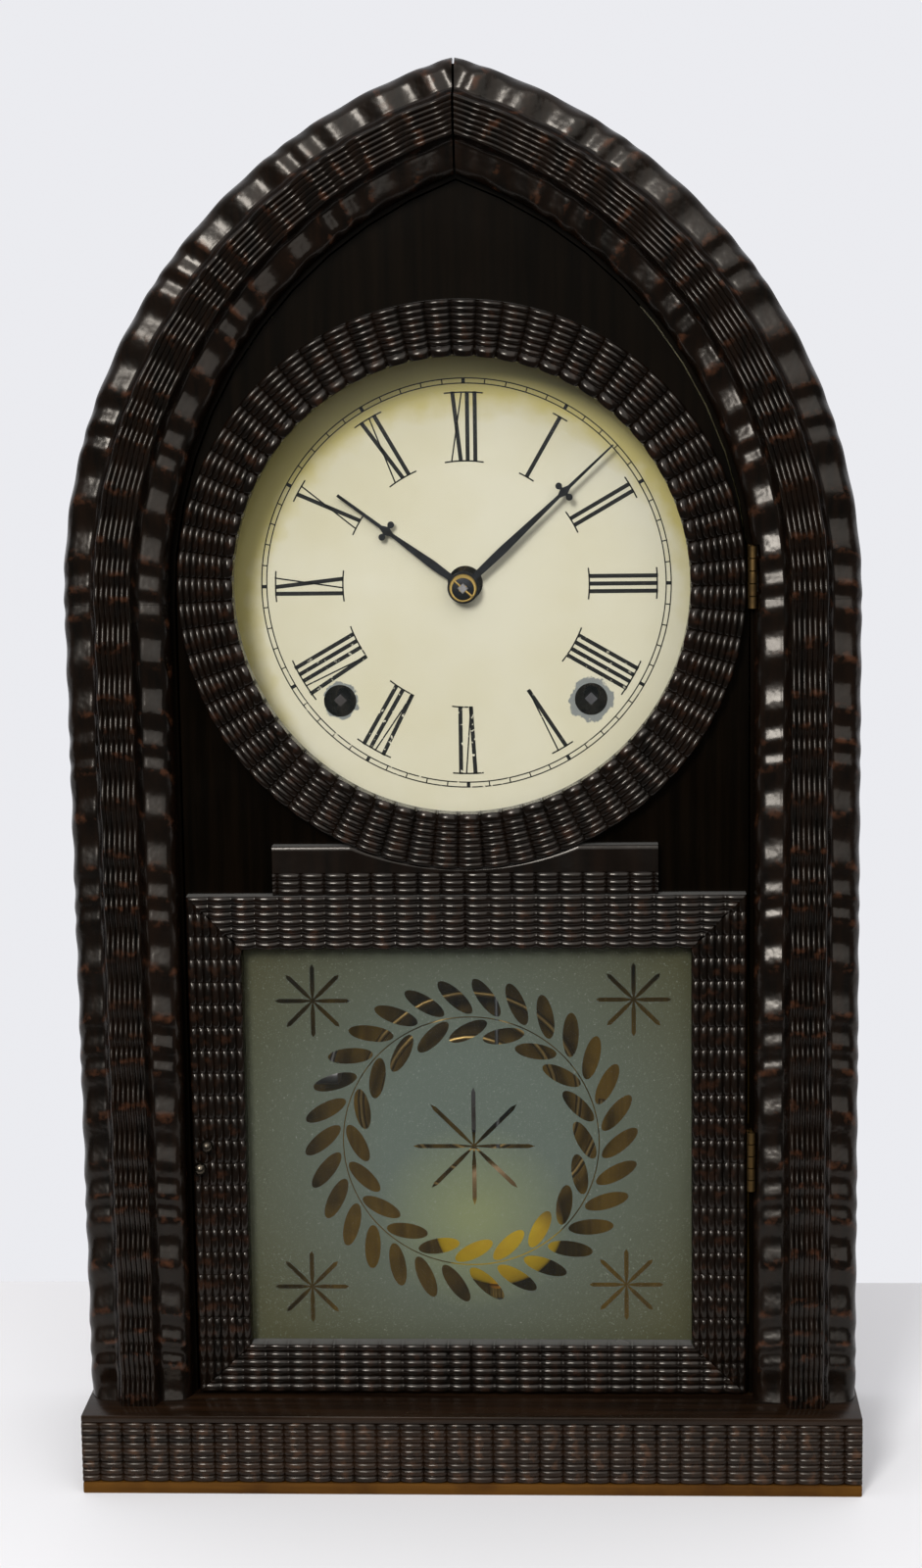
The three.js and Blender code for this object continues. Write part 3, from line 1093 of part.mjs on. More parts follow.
// Motion work that turns the hour hand once for twelve turns of the minute hand
function makeMotionWork() {
  const anyDepth = [-BASE_DEPTH, BASE_DEPTH];
  const toMinute = direction(CENTRE, MINUTE_ARBOR);
  const hourTeeth = wheel(CENTRE, HOUR_WHEEL_RADIUS, HOUR_WHEEL_TEETH, toMinute, HOUR_WHEEL_Y, []);
  const pipeY = [HOUR_HAND_Y - END_SHAKE, HOUR_WHEEL_Y + WHEEL_THICKNESS];
  const pipe = rodAlongY(CENTRE, pipeY, HOUR_PIPE_RADIUS);
  const pipeBore = rodAlongY(CENTRE, anyDepth, CENTRE_ARBOR_RADIUS + ARBOR_PLAY);
  addPart("hour_wheel", cut(join(hourTeeth, pipe), pipeBore), brass);

  const toCentre = direction(MINUTE_ARBOR, CENTRE);
  const teeth = wheel(MINUTE_ARBOR, MINUTE_WHEEL_RADIUS, MINUTE_WHEEL_TEETH, toCentre, MINUTE_WHEEL_Y, []);
  const pinion = lantern(MINUTE_ARBOR, MINUTE_PINION_RADIUS, CANNON_TRUNDLES, toCentre, HOUR_WHEEL_Y);
  const sleeveY = [HOUR_WHEEL_Y, MINUTE_WHEEL_Y + WHEEL_THICKNESS];
  const sleeve = rodAlongY(MINUTE_ARBOR, sleeveY, ARBOR_RADIUS + ARBOR_PLAY + END_SHAKE);
  const studBore = rodAlongY(MINUTE_ARBOR, anyDepth, ARBOR_RADIUS + END_SHAKE);
  addPart("minute_wheel", cut(join(teeth, pinion, sleeve), studBore), brass);
}

// Striking train
function makeStrikingTrain() {
  const toWarning = direction(PIN_ARBOR, WARNING);
  const pinY = [PIN_WHEEL_Y - STRIKE_PIN_LENGTH, PIN_WHEEL_Y + BURIED];
  const pins = circle(PIN_ARBOR, STRIKE_PIN_CIRCLE, STRIKE_PINS).map((place) =>
    rodAlongY(place, pinY, STRIKE_PIN_RADIUS, TRUNDLE_SIDES),
  );
  addPart("strike_pin_wheel", join(
    arbor(PIN_ARBOR),
    wheel(PIN_ARBOR, SECOND_WHEEL_RADIUS, SECOND_WHEEL_TEETH, toWarning, PIN_WHEEL_Y, []),
    slowPinion(PIN_ARBOR, STRIKE_GREAT),
    ...pins,
  ), brass);
  addPart("strike_warning_wheel", join(
    arbor(WARNING),
    trainWheel(WARNING, WARNING_WHEEL_RADIUS, WARNING_WHEEL_TEETH, FLY, WARNING_WHEEL_Y),
    smallPinion(WARNING, CENTRE_PINION_RADIUS, PIN_ARBOR, PIN_WHEEL_Y),
  ), brass);
  const vaneX = [FLY[0] - FLY_HALF_SPAN, FLY[0] + FLY_HALF_SPAN];
  const vaneY = [SECOND_WHEEL_Y, BACK_PLATE_Y - LAYER_GAP];
  const vaneZ = [FLY[1] - FLY_VANE_THICKNESS / 2, FLY[1] + FLY_VANE_THICKNESS / 2];
  addPart("strike_fly", join(
    arbor(FLY),
    box(vaneX, vaneY, vaneZ),
    smallPinion(FLY, FLY_PINION_RADIUS, WARNING, WARNING_WHEEL_Y),
  ), brass);
}

// Hammer: a wire from its arbor down to the head, and a short tail up to the pins
function makeHammer() {
  const [x, z] = HAMMER_ARBOR;
  const headEnd = -GONG_OUTER_RADIUS - GONG_WIRE_RADIUS - HAMMER_REST_GAP;
  const headX = [headEnd - HAMMER_HEAD_LENGTH, headEnd];
  const headZ = GONG_HEIGHT + HAMMER_HEAD_LENGTH;
  const wireEnd = [headEnd - HAMMER_HEAD_LENGTH / 2, HAMMER_Y, headZ];
  const pivot = [x, HAMMER_Y, z];
  const wire = rodBetween(pivot, wireEnd, HAMMER_WIRE_RADIUS, HAMMER_WIRE_SIDES);
  const head = rodAlongX([HAMMER_Y, headZ], headX, HAMMER_HEAD_RADIUS);
  const reach = STRIKE_PIN_CIRCLE + STRIKE_PIN_RADIUS + HAMMER_WIRE_RADIUS + END_SHAKE;
  const [tailX, tailZ] = polar(PIN_ARBOR, reach, direction(PIN_ARBOR, HAMMER_ARBOR));
  const tail = rodBetween(pivot, [tailX, HAMMER_Y, tailZ], HAMMER_WIRE_RADIUS, HAMMER_WIRE_SIDES);
  const collarY = [HAMMER_Y - HAMMER_COLLAR_LENGTH / 2, HAMMER_Y + HAMMER_COLLAR_LENGTH / 2];
  const collar = rodAlongY(HAMMER_ARBOR, collarY, HAMMER_COLLAR_RADIUS);
  addPart("strike_hammer", join(arbor(HAMMER_ARBOR), collar, wire, tail, head), steel);
}

// Verge with its pallets and crutch, turning on a stud in line with the pendulum's bending point
const PALLET_ANGLE = (PALLET_SPAN_TEETH * Math.PI) / ESCAPE_WHEEL_TEETH;
const PIVOT = [ESCAPE[0], ESCAPE[1] + ESCAPE_WHEEL_RADIUS / Math.cos(PALLET_ANGLE)];
const PENDULUM_Y = PLATE_FRONT_Y - PENDULUM_SETBACK;
const VERGE_MIDDLE_Y = ESCAPE_WHEEL_Y + WHEEL_THICKNESS / 2;
const VERGE_Y = [VERGE_MIDDLE_Y - VERGE_WIDTH / 2, VERGE_MIDDLE_Y + VERGE_WIDTH / 2];
const CRUTCH_Y = [PENDULUM_Y + CRUTCH_LEAD, PENDULUM_Y + CRUTCH_LEAD + CRUTCH_THICKNESS];

function palletArm(side) {
  const outward = Math.PI / 2 - side * PALLET_ANGLE;
  const tipRadius = ESCAPE_WHEEL_RADIUS + PALLET_CLEARANCE;
  const nibX = [tipRadius, tipRadius + PALLET_LENGTH];
  const nib = box(nibX, VERGE_Y, [-PALLET_THICKNESS / 2, PALLET_THICKNESS / 2]);
  const placed = nib.rotate([0, -radToDeg(outward), 0]).translate([ESCAPE[0], 0, ESCAPE[1]]);
  const [x, z] = polar(ESCAPE, tipRadius + PALLET_LENGTH - VERGE_ARM_RADIUS, outward);
  const from = [PIVOT[0], VERGE_MIDDLE_Y, PIVOT[1]];
  const arm = rodBetween(from, [x, VERGE_MIDDLE_Y, z], VERGE_ARM_RADIUS, ROUND_SIDES);
  return join(placed, arm);
}

function makeVerge() {
  const [x, z] = PIVOT;
  const hub = rodAlongY(PIVOT, [CRUTCH_Y[0], VERGE_Y[1]], ARBOR_RADIUS + HUB_WALL / 2);
  const footZ = [z - CRUTCH_LENGTH, z - CRUTCH_LENGTH + CRUTCH_FOOT];
  const crutch = box([x - CRUTCH_WIDTH / 2, x + CRUTCH_WIDTH / 2], CRUTCH_Y, [footZ[0], z]);
  const forkHalf = CRUTCH_SLOT / 2 + CRUTCH_PRONG;
  const forkY = [PENDULUM_Y - CRUTCH_LEAD, CRUTCH_Y[1]];
  const slotX = [x - CRUTCH_SLOT / 2, x + CRUTCH_SLOT / 2];
  const slot = box(slotX, [forkY[0] - BURIED, CRUTCH_Y[0]], [footZ[0] - BURIED, z]);
  const fork = cut(box([x - forkHalf, x + forkHalf], forkY, footZ), slot);
  const bore = rodAlongY(PIVOT, [-BASE_DEPTH, BASE_DEPTH], ARBOR_RADIUS + END_SHAKE);
  addPart("verge", cut(join(palletArm(1), palletArm(-1), hub, crutch, fork), bore), steel);
}

// Cock on the front plate: the verge's stud and the post that the pendulum hangs from
function makeVergeCock() {
  const [x, z] = PIVOT;
  const footY = [PLATE_FRONT_Y - COCK_FOOT_THICKNESS, PLATE_FRONT_Y];
  const foot = box([x - COCK_WIDTH / 2, x + COCK_WIDTH / 2], footY, [z - COCK_BELOW, z + COCK_ABOVE]);
  const stud = rodAlongY(PIVOT, [CRUTCH_Y[0], footY[1]], ARBOR_RADIUS - END_SHAKE);
  const postX = [x - POST_WIDTH / 2, x + POST_WIDTH / 2];
  const postFrontY = PENDULUM_Y - POST_LIP / 2;
  const post = box(postX, [postFrontY, footY[1]], [z + COCK_ABOVE - POST_HEIGHT, z + COCK_ABOVE]);
  const lip = box(postX, [postFrontY, postFrontY + POST_LIP - END_SHAKE], [z + END_SHAKE, z + COCK_ABOVE]);
  addPart("verge_cock", join(foot, stud, post, lip), brass);
}

// Pendulum: suspension strip and rod, lens-shaped bob and rating nut
function makePendulum() {
  const x = PIVOT[0];
  const line = [x, PENDULUM_Y];
  const stripBottom = PIVOT[1] - SUSPENSION_LENGTH;
  const strip = box(
    [x - SUSPENSION_THICKNESS / 2, x + SUSPENSION_THICKNESS / 2],
    [PENDULUM_Y - SUSPENSION_WIDTH / 2, PENDULUM_Y + SUSPENSION_WIDTH / 2],
    [stripBottom, PIVOT[1] - END_SHAKE],
  );
  const rodBottom = BOB_HEIGHT - BOB_RADIUS - RATING_NUT_HEIGHT - ROD_END;
  const rod = rodAlongZ(line, [rodBottom, stripBottom + BURIED], PENDULUM_ROD_RADIUS);
  addPart("pendulum_rod", join(strip, rod), steel);

  const half = BOB_THICKNESS / 2;
  const front = [
    [0, -half],
    [BOB_RADIUS * BOB_SHOULDER_RADIUS_SHARE, -half * BOB_SHOULDER_DEPTH_SHARE],
    [BOB_RADIUS, -half * BOB_EDGE_SHARE],
  ];
  const back = front.map(([radius, y]) => [radius, -y]).reverse();
  const profile = [...front, ...back].map(([radius, y]) => [radius, PENDULUM_Y + y]);
  const lens = turned(profile, [x, BOB_HEIGHT], FINE_SIDES);
  const anyHeight = [0, OVERALL_HEIGHT];
  addPart("pendulum_bob", cut(lens, rodAlongZ(line, anyHeight, PENDULUM_ROD_RADIUS + ARBOR_PLAY)), brass);

  const nutTop = BOB_HEIGHT - BOB_RADIUS - END_SHAKE;
  const nut = rodAlongZ(line, [nutTop - RATING_NUT_HEIGHT, nutTop], RATING_NUT_RADIUS);
  addPart("rating_nut", cut(nut, rodAlongZ(line, anyHeight, PENDULUM_ROD_RADIUS + END_SHAKE)), brass);
}

// Coiled wire gong, its inner end let into the post of an iron stand
class FlatSpiral extends THREE.Curve {
  getPoint(t) {
    const radius = GONG_INNER_RADIUS + (GONG_OUTER_RADIUS - GONG_INNER_RADIUS) * t;
    const [x, z] = polar([0, GONG_HEIGHT], radius, 2 * Math.PI * GONG_TURNS * t);
    return new THREE.Vector3(x, HAMMER_Y, z);
  }
}

function leastGap(points, apart, wireRadius) {
  let least = Infinity;
  points.forEach((point, i) => {
    for (const other of points.slice(i + apart)) {
      least = Math.min(least, point.distanceTo(other));
    }
  });
  return least - 2 * wireRadius;
}

function makeGong() {
  const steps = GONG_TURNS * GONG_STEPS_PER_TURN;
  const path = new FlatSpiral();
  const section = shapeOf(circle([0, 0], GONG_WIRE_RADIUS, GONG_WIRE_SIDES));
  const settings = { steps, extrudePath: path, bevelEnabled: false };
  const wire = solidFrom(new THREE.ExtrudeGeometry(section, settings));
  addPart("gong_coil", wire, steel);
  const gap = leastGap(path.getPoints(steps), GONG_STEPS_PER_TURN / 2, GONG_WIRE_RADIUS);
  console.log(`gong coil: least gap to itself ${gap.toFixed(2)} mm`);

  const middle = [0, GONG_HEIGHT];
  const footY = [BACKBOARD_FRONT_Y - GONG_FOOT_THICKNESS, BACKBOARD_FRONT_Y];
  const foot = rodAlongY(middle, footY, GONG_FOOT_RADIUS, FINE_SIDES);
  const post = rodAlongY(middle, [HAMMER_Y - GONG_POST_LEAD, footY[1]], GONG_INNER_RADIUS, FINE_SIDES);
  addPart("gong_stand", cut(join(foot, post), wire), iron);
}

makeBase();
makeCase();
makeMouldings();
makeDoor();
makeHinges();
makeLatch();
makeDial();
makeHands();
makePlates();
makeWinding();
makeGoingTrain();
makeMotionWork();
makeStrikingTrain();
makeHammer();
makeVerge();
makeVergeCock();
makePendulum();
makeGong();

export default root;
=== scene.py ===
"""A ripple-moulded shelf clock: fine mouldings, painted dial, frosted tablet, wood and metal finishes."""
import json
import math

import bmesh
import bpy
import numpy as np
from mathutils import Matrix, Vector


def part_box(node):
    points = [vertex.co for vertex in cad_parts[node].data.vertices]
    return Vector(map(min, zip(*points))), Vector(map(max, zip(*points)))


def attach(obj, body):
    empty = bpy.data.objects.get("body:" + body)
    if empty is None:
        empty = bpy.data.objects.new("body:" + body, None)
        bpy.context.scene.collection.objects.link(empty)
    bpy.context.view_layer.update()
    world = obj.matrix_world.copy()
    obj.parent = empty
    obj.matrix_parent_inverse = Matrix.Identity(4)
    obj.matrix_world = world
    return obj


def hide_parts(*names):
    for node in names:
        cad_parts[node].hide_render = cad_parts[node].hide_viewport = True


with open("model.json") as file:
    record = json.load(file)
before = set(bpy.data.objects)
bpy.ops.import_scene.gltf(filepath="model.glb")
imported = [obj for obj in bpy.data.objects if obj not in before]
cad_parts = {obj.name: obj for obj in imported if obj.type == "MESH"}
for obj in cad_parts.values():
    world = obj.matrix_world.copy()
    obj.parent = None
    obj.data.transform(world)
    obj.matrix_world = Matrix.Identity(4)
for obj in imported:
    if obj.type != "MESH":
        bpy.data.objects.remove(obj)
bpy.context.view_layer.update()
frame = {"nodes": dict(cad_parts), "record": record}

# All lengths below are in millimetres, in the frame of the solids
MM = 0.001
TURN = 2 * math.pi
RIGHT = (1.0, 0.0, 0.0)
FORWARD = (0.0, -1.0, 0.0)
BACKWARD = (0.0, 1.0, 0.0)
UP = (0.0, 0.0, 1.0)
DOWN = (0.0, 0.0, -1.0)
SIDES = ((1, "right"), (-1, "left"))
BOX_DIGITS = 4


def corners(node):
    """Lowest and highest corner of a solid, rounded to the sizes it was built to."""
    return [[round(value / MM, BOX_DIGITS) for value in corner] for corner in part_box(node)]


# Case and base
OVERALL_HEIGHT = 483.0
CASE_HALF_WIDTH = 133.0
ARCH_RISE = 176.6
ARCH_STEPS = 64
SIDE_THICKNESS = 9.0
BASE_REEDS = 9
BOARD_EDGE = 0.5

# Ripple moulding round the front
MOULDING_LOW, MOULDING_HIGH = corners("moulding_right_upright")
MOULDING_BACK_Y = MOULDING_HIGH[1]
MOULDING_RELIEF = MOULDING_BACK_Y - MOULDING_LOW[1]
MOULDING_WIDTH = 35.2
MOULDING_EDGE = 5.8
MOULDING_ROLL_WIDTH = 4.2
MOULDING_SLOPE_WIDTH = 11.5
MOULDING_SLOPE_RISE = 1.2
MOULDING_STEP = 5.2
MOULDING_STEP_WIDTH = 3.0
MOULDING_CURVE = 3
MOULDING_REEDS = 7
MOULDING_REED_DEPTH = 0.7
WAVE_HEIGHT = 0.8
WAVE_STEEPNESS = 0.33
WAVE_EDGE = 0.1
WAVE_EDGE_FADE = 3.0
WAVE_LAG = 0.95
WAVE_CREST_GAPS = (8.1, 10.5, 17.6, 16.2)
WAVE_START = 3.0
WORN_FROM = 0.6
MITRE_GAP = 0.1
APEX_GAP = 0.8

# Fine ripples on the door and the base
REED_DEPTH = 0.7
REED_POWER = 0.6
RIPPLE_PITCH = 8.0
RIPPLE_HEIGHT = 0.5
RIPPLE_EDGE = 0.3
RIPPLE_POWER = 0.42

# Door
RING_LOW, RING_HIGH = corners("bezel_ring")
RING_CENTRE_Z = (RING_LOW[2] + RING_HIGH[2]) / 2
RING_OUTER_RADIUS = RING_HIGH[0]
RING_INNER_RADIUS = 76.5
RING_BEAD_WIDTH = 3.6
RING_REEDS = 7
RING_RIPPLES = 67
RING_RIPPLE_HEIGHT = 0.65
RING_RIPPLE_POWER = 0.55
PLINTH_REED_BAND = 7.8
PLINTH_REEDS = 3
PLINTH_RING_GAP = 0.3
PLINTH_CHAMFER = 0.4
STRIP_REEDS = 7
LOW_STRIP_REEDS = 6

# Hinges and knobs
HINGES = ("upper", "lower")
HINGE_AXIS = (97.0, -30.9)
HINGE_KNUCKLES = 5
HINGE_KNUCKLE_RADIUS = 1.5
HINGE_GAP = 0.1
HINGE_LEAF_FRONT_Y = -29.2
HINGE_DOOR_LEAF_X = (95.6, 96.3)
HINGE_CASE_LEAF_X = (96.65, 97.35)
HINGE_PIN_RADIUS = 0.6
HINGE_NOTCH_REACH = 2.0
LATCH_CENTRE = (-90.0, 119.0)
LATCH_PLATE_THICKNESS = 1.2
LATCH_PLATE_EDGE = 0.2
KNOB_RADIUS = 2.3
KNOB_STEM_RADIUS = 1.3
KNOB_ARC = (0.026, 0.802)
KNOB_STEPS = 10

# Dial, its print and the hands
DIAL_LOW, DIAL_HIGH = corners("dial_plate")
DIAL_FRONT_Y = DIAL_LOW[1]
DIAL_CORNER = 16.0
DIAL_HUB_CENTRE = (0.5, 310.0)
DIAL_HUB_HOLE = 6.0
WINDING_CENTRES = ((43.2, 269.8), (-43.2, 269.8))
WINDING_HOLE = 5.6
STAIN_CENTRE = (3.0, DIAL_FRONT_Y, 296.0)
STAIN_RADII = (70.0, 79.0)
STAIN_SHARE = 0.9
STAIN_WOBBLE = 2.0
STAIN_FADE_RADII = (88.0, 108.0)
STAIN_FADE_SHARE = 0.35
WORN_RADII = ((7.2, 7.6), (5.8, 6.2))
WORN_SHARE = 0.9
WORN_WOBBLE = 1.2
CHIP_CENTRE = (0.0, DIAL_FRONT_Y, 240.0)
CHIP_RADII = (50.0, 80.0)
PRINT_CENTRE = (0.7, 309.5)
PRINT_THICKNESS = 0.06
NUMERAL_INNER = 41.9
NUMERAL_OUTER = 65.5
NUMERAL_THICK = 1.4
NUMERAL_THIN = 0.5
NUMERAL_I_PITCH = 2.6
NUMERAL_WIDE = 4.1
NUMERAL_GAP = 0.9
NUMERAL_SERIF = 2.1
SERIF_STEPS = 8
NUMERALS = ("XII", "I", "II", "III", "IIII", "V", "VI", "VII", "VIII", "IX", "X", "XI")
TRACK_OUTER = 70.2
TRACK_INNER = 68.1
TRACK_LINE = 0.4
TRACK_BLOCK = 1.2
TRACK_STEPS = 180
MINUTES = 60
MINUTES_PER_NUMERAL = 5
HUB = (0.0, 309.0)
HOUR_HAND = {"length": 53.0, "cross": 32.4, "angle": 306.6, "tip": 0.5}
MINUTE_HAND = {"length": 70.0, "cross": 47.2, "angle": 47.0, "tip": 0.28}
HAND_STEPS = 20
HAND_EYE_RADIUS = 5.4
HAND_ROOT = 1.1
HAND_BELLY = 1.4
HAND_BELLY_SHARE = 0.35
HAND_NECK = 0.6
HAND_LOBE_PLACE = 2.6
HAND_LOBE_RADIUS = 1.15
HAND_LOBE_OPEN = 150.0
HAND_FLARE = 2.4
HAND_WAIST = 0.55

# Turned pieces of the hub: radius, and distance behind the collet's face
COLLET_PROFILE = ((4.7, 1.4), (4.7, 0.3), (4.4, 0.0), (3.9, 0.0), (0.4, 0.4))
HUB_DISC_PROFILE = ((3.8, 0.3), (3.8, -0.1), (3.5, -0.25), (0.4, -0.25))
HUB_DISC_DROP = 0.3
ARBOR_HALF = 1.35
ARBOR_RINGS = ((1.0, 0.0), (1.0, -0.9), (0.85, -1.1))
ARBOR_LEAN = 42.0
PIN_REACH = 4.0
PIN_RADII = (0.32, 0.45)
PIN_FORWARD = 0.6

# Tablet ornament
FROST_EDGE = 0.3
FROST_GAP = 0.04
FROST_THICKNESS = 0.1
WREATH_CENTRE = (0.6, 117.4)
WREATH_RADIUS = 44.4
WREATH_STEM = 0.4
OUTER_LEAVES = {"count": 30, "length": 15.8, "width": 5.6, "lean": 43.0, "gap": 1.4, "start": 5.0}
INNER_LEAVES = {"count": 20, "length": 14.6, "width": 5.5, "lean": 35.0, "gap": 1.3, "start": 10.0}
LEAF_STEPS = 12
STAR_RAYS = 8
STAR_CENTRE = (1.6, 115.8)
STAR_REACH = 21.2
STAR_HALF_WIDTH = 0.75
STAR_RAY = ((0.3, -1), (0.9, -1), (1.0, 0), (0.9, 1), (0.3, 1))
CORNER_STAR_REACH = 13.0
CORNER_STARS = ((-53.5, 167.6), (57.1, 167.8), (-55.8, 64.9), (54.2, 65.8))
# Painted glow of the lit bob on the etched glass: its centre, its radii and its share
PAINTED_GLOW_CENTRE = (1.6, 90.0)
PAINTED_GLOW_RADII = (4.0, 34.0)
PAINTED_GLOW_SHARE = 0.8
# Reach of the painted shade at the edges of the etched glass, from the wreath's centre
FROST_SHADE_RADII = (30.0, 95.0)

# Pendulum, gong, hammer and springs
PENDULUM = (9.0, 4.0)
SUSPENSION_HALF_THICKNESS = 0.2
SUSPENSION_HALF_WIDTH = 1.0
SUSPENSION_Z = (360.7, 373.5)
ROD_Z = (50.5, 362.7)
ROD_RADIUS = 0.7
BOB_Z = 80.0
BOB_RADIUS = 23.0
BOB_HALF_THICKNESS = 4.5
BOB_FULLNESS = 0.75
BOB_STEPS = 24
# Painted shade on the bob: distances from its foot where the darker brown starts and where it is full
BOB_SHADE_FROM = (27.0, 35.0)
NUT_RADIUS = 4.0
NUT_KNURLS = 24
NUT_KNURL_DEPTH = 0.25
GONG_CENTRE = (0.0, 118.0)
GONG_Y = 30.7
GONG_RADII = (13.0, 46.0)
GONG_TURNS = 4
GONG_WIRE_RADIUS = 1.2
GONG_CLAMP_HALF = 2.0
GONG_CLAMP_EDGE = 0.4
GONG_STAND_PROFILE = ((0.5, 27.7), (10.6, 27.7), (11.6, 28.7), (11.6, 38.5), (13.2, 40.0), (14.0, 40.8),
                      (14.0, 44.0))
HAMMER_ARBOR = (-8.0, 272.0)
HAMMER_HEAD_Z = 128.0
HAMMER_HEAD_PROFILE = ((3.1, 0.0), (4.0, 0.6), (4.0, 8.8), (2.8, 9.7), (0.8, 10.0))
HAMMER_HEAD_MIDDLE = 5.0
HAMMER_TAIL = (-14.5, 283.6)
HAMMER_WIRE_RADIUS = 0.9
HAMMER_COLLAR_RADIUS = 2.1
HAMMER_COLLAR_HALF = 2.0
SPRING_RADII = (7.0, 25.0)
SPRING_TURNS = 9
SPRING_STRIP = 0.6

# Fineness of the meshes
ROW_STEP = 0.6
RIPPLE_ROWS = 16
REED_COLUMNS = 8
BEAD_COLUMNS = 10
SLOPE_COLUMNS = 14
STEP_COLUMNS = 8
TUBE_SIDES = 12
SMALL_SIDES = 24
ROUND_SIDES = 32
FINE_SIDES = 64
STEM_SIDES = 128
SPIRAL_STEPS = 40
WELD_DISTANCE = 1e-4
STEEP = 0.9
SHARP_ANGLE = 40.0
RIPPLE_SHARP_ANGLE = 55.0
MOULDING_SHARP_ANGLE = 50.0
KNURL_SHARP_ANGLE = 20.0

# The photograph's camera, the floor and the light
IMAGE_HEIGHT = 1600
FOCAL_PIXELS = 2979
SENSOR = 36.0
CAMERA_PLACE = (46.0, -1000.0, 403.0)
CAMERA_YAW = -2.76
CAMERA_PITCH = 9.27
CAMERA_ROLL = -0.80
CLIP_START = 50.0
FLOOR_HALF_WIDTH = 4000.0
FLOOR_FRONT_Y = -140.0
FLOOR_BACK_Y = 172.0
BACKGROUND = 0.87
GLOSSY_SHARE = 0.15
SKY_COLOUR = (0.955, 0.96, 1.0, 1.0)
CEILING_FROM = (0.15, 0.8)
CEILING_STRENGTH = (0.05, 1.0)
BEHIND_FROM = (0.0, 0.4)
LIGHT_TARGET = (0.0, 0.0, 250.0)
LAMPS = {
    "key": {"place": (-450.0, -1770.0, 1120.0), "size": (440.0, 560.0), "power": 30.0},
    "fill": {"place": (300.0, -1700.0, 1150.0), "size": (2000.0, 2000.0), "power": 18.5},
}

# Noises of the finishes: features in a metre, detail and stretch
NOISE_ROUGHNESS = 0.55
GRAIN_NOISE = (260.0, 6.0)
WEAR_NOISE = (240.0, 3.0)
SHEEN_NOISE = (35.0, 3.0)
PORE_NOISE = (420.0, 6.0)
LUMP_NOISE = (150.0, 2.0)
BOARD_NOISE = (180.0, 7.0)
STAIN_NOISE = (34.0, 4.0)
SCRATCH_NOISE = (1400.0, 2.0, (0.06, 1.0, 1.0))
SPECKLE_NOISE = (700.0, 4.0)
CHIP_NOISE = (520.0, 3.0)
CLOUD_NOISE = (22.0, 5.0)
WOBBLE_NOISE = (130.0, 2.0)
FRAY_NOISE = (300.0, 3.0)
BRUSH_NOISE = (420.0, 5.0)
HAZE_NOISE = (30.0, 3.0)
ETCH_NOISE = (1600.0, 2.0)
FLOOR_NOISE = (3.0, 3.0)
TARNISH_SCALE = 45.0
TARNISH_DETAIL = 5.0

# Places in the range of a noise, or of a face's upward lean, where a finish changes
MIDDLE = (0.3, 0.7)
WEAR_SPAN = (0.5, 0.7)
STAIN_SPAN = (0.45, 0.75)
TARNISH_SPAN = (0.4, 0.68)
CHIP_SPAN = (0.62, 0.66)
DRIFT_SPAN = (0.35, 0.7)
BOARD_STOPS = (0.3, 0.55, 0.75)
SPECKLE_STOPS = (0.55, 0.8)
ETCH_SPAN = (0.62, 0.8)
LEVEL_SPAN = (0.8, 1.0)
ETCH_SHARE = 0.5

# How far a finish strays from its roughness, to either side
VARNISH_SPREAD = (-0.08, 0.1)
BOARD_SPREAD = (-0.1, 0.1)
METAL_SPREAD = (0.0, 0.2)

ARCH_CENTRE = (ARCH_RISE ** 2 - CASE_HALF_WIDTH ** 2) / (2 * CASE_HALF_WIDTH)
ARCH_RADIUS = CASE_HALF_WIDTH + ARCH_CENTRE
SPRINGING_HEIGHT = OVERALL_HEIGHT - ARCH_RISE


class Nodes:
    """A node tree under construction."""

    def __init__(self, tree):
        self.tree = tree

    def feed(self, socket, value):
        """Links a socket to another node's output, or sets its own value."""
        if isinstance(value, bpy.types.NodeSocket):
            self.tree.links.new(value, socket)
        else:
            socket.default_value = value

    def node(self, kind, inputs=None, **settings):
        """Outputs of a new node whose inputs are fed by name or number."""
        made = self.tree.nodes.new(kind)
        for key, value in settings.items():
            setattr(made, key, value)
        for key, value in (inputs or {}).items():
            self.feed(made.inputs[key], value)
        return made.outputs

    def remap(self, value, low, high, to_low=0.0, to_high=1.0):
        ends = {"From Min": low, "From Max": high, "To Min": to_low, "To Max": to_high}
        return self.node("ShaderNodeMapRange", {"Value": value, **ends})["Result"]

    def combine(self, operation, first, second):
        return self.node("ShaderNodeMath", {0: first, 1: second}, operation=operation)["Value"]

    def times(self, first, second):
        return self.combine("MULTIPLY", first, second)

    def larger(self, first, second):
        return self.combine("MAXIMUM", first, second)

    def along(self, vector, axis):
        """One of the three parts of a vector."""
        return self.node("ShaderNodeSeparateXYZ", {"Vector": vector})[axis]


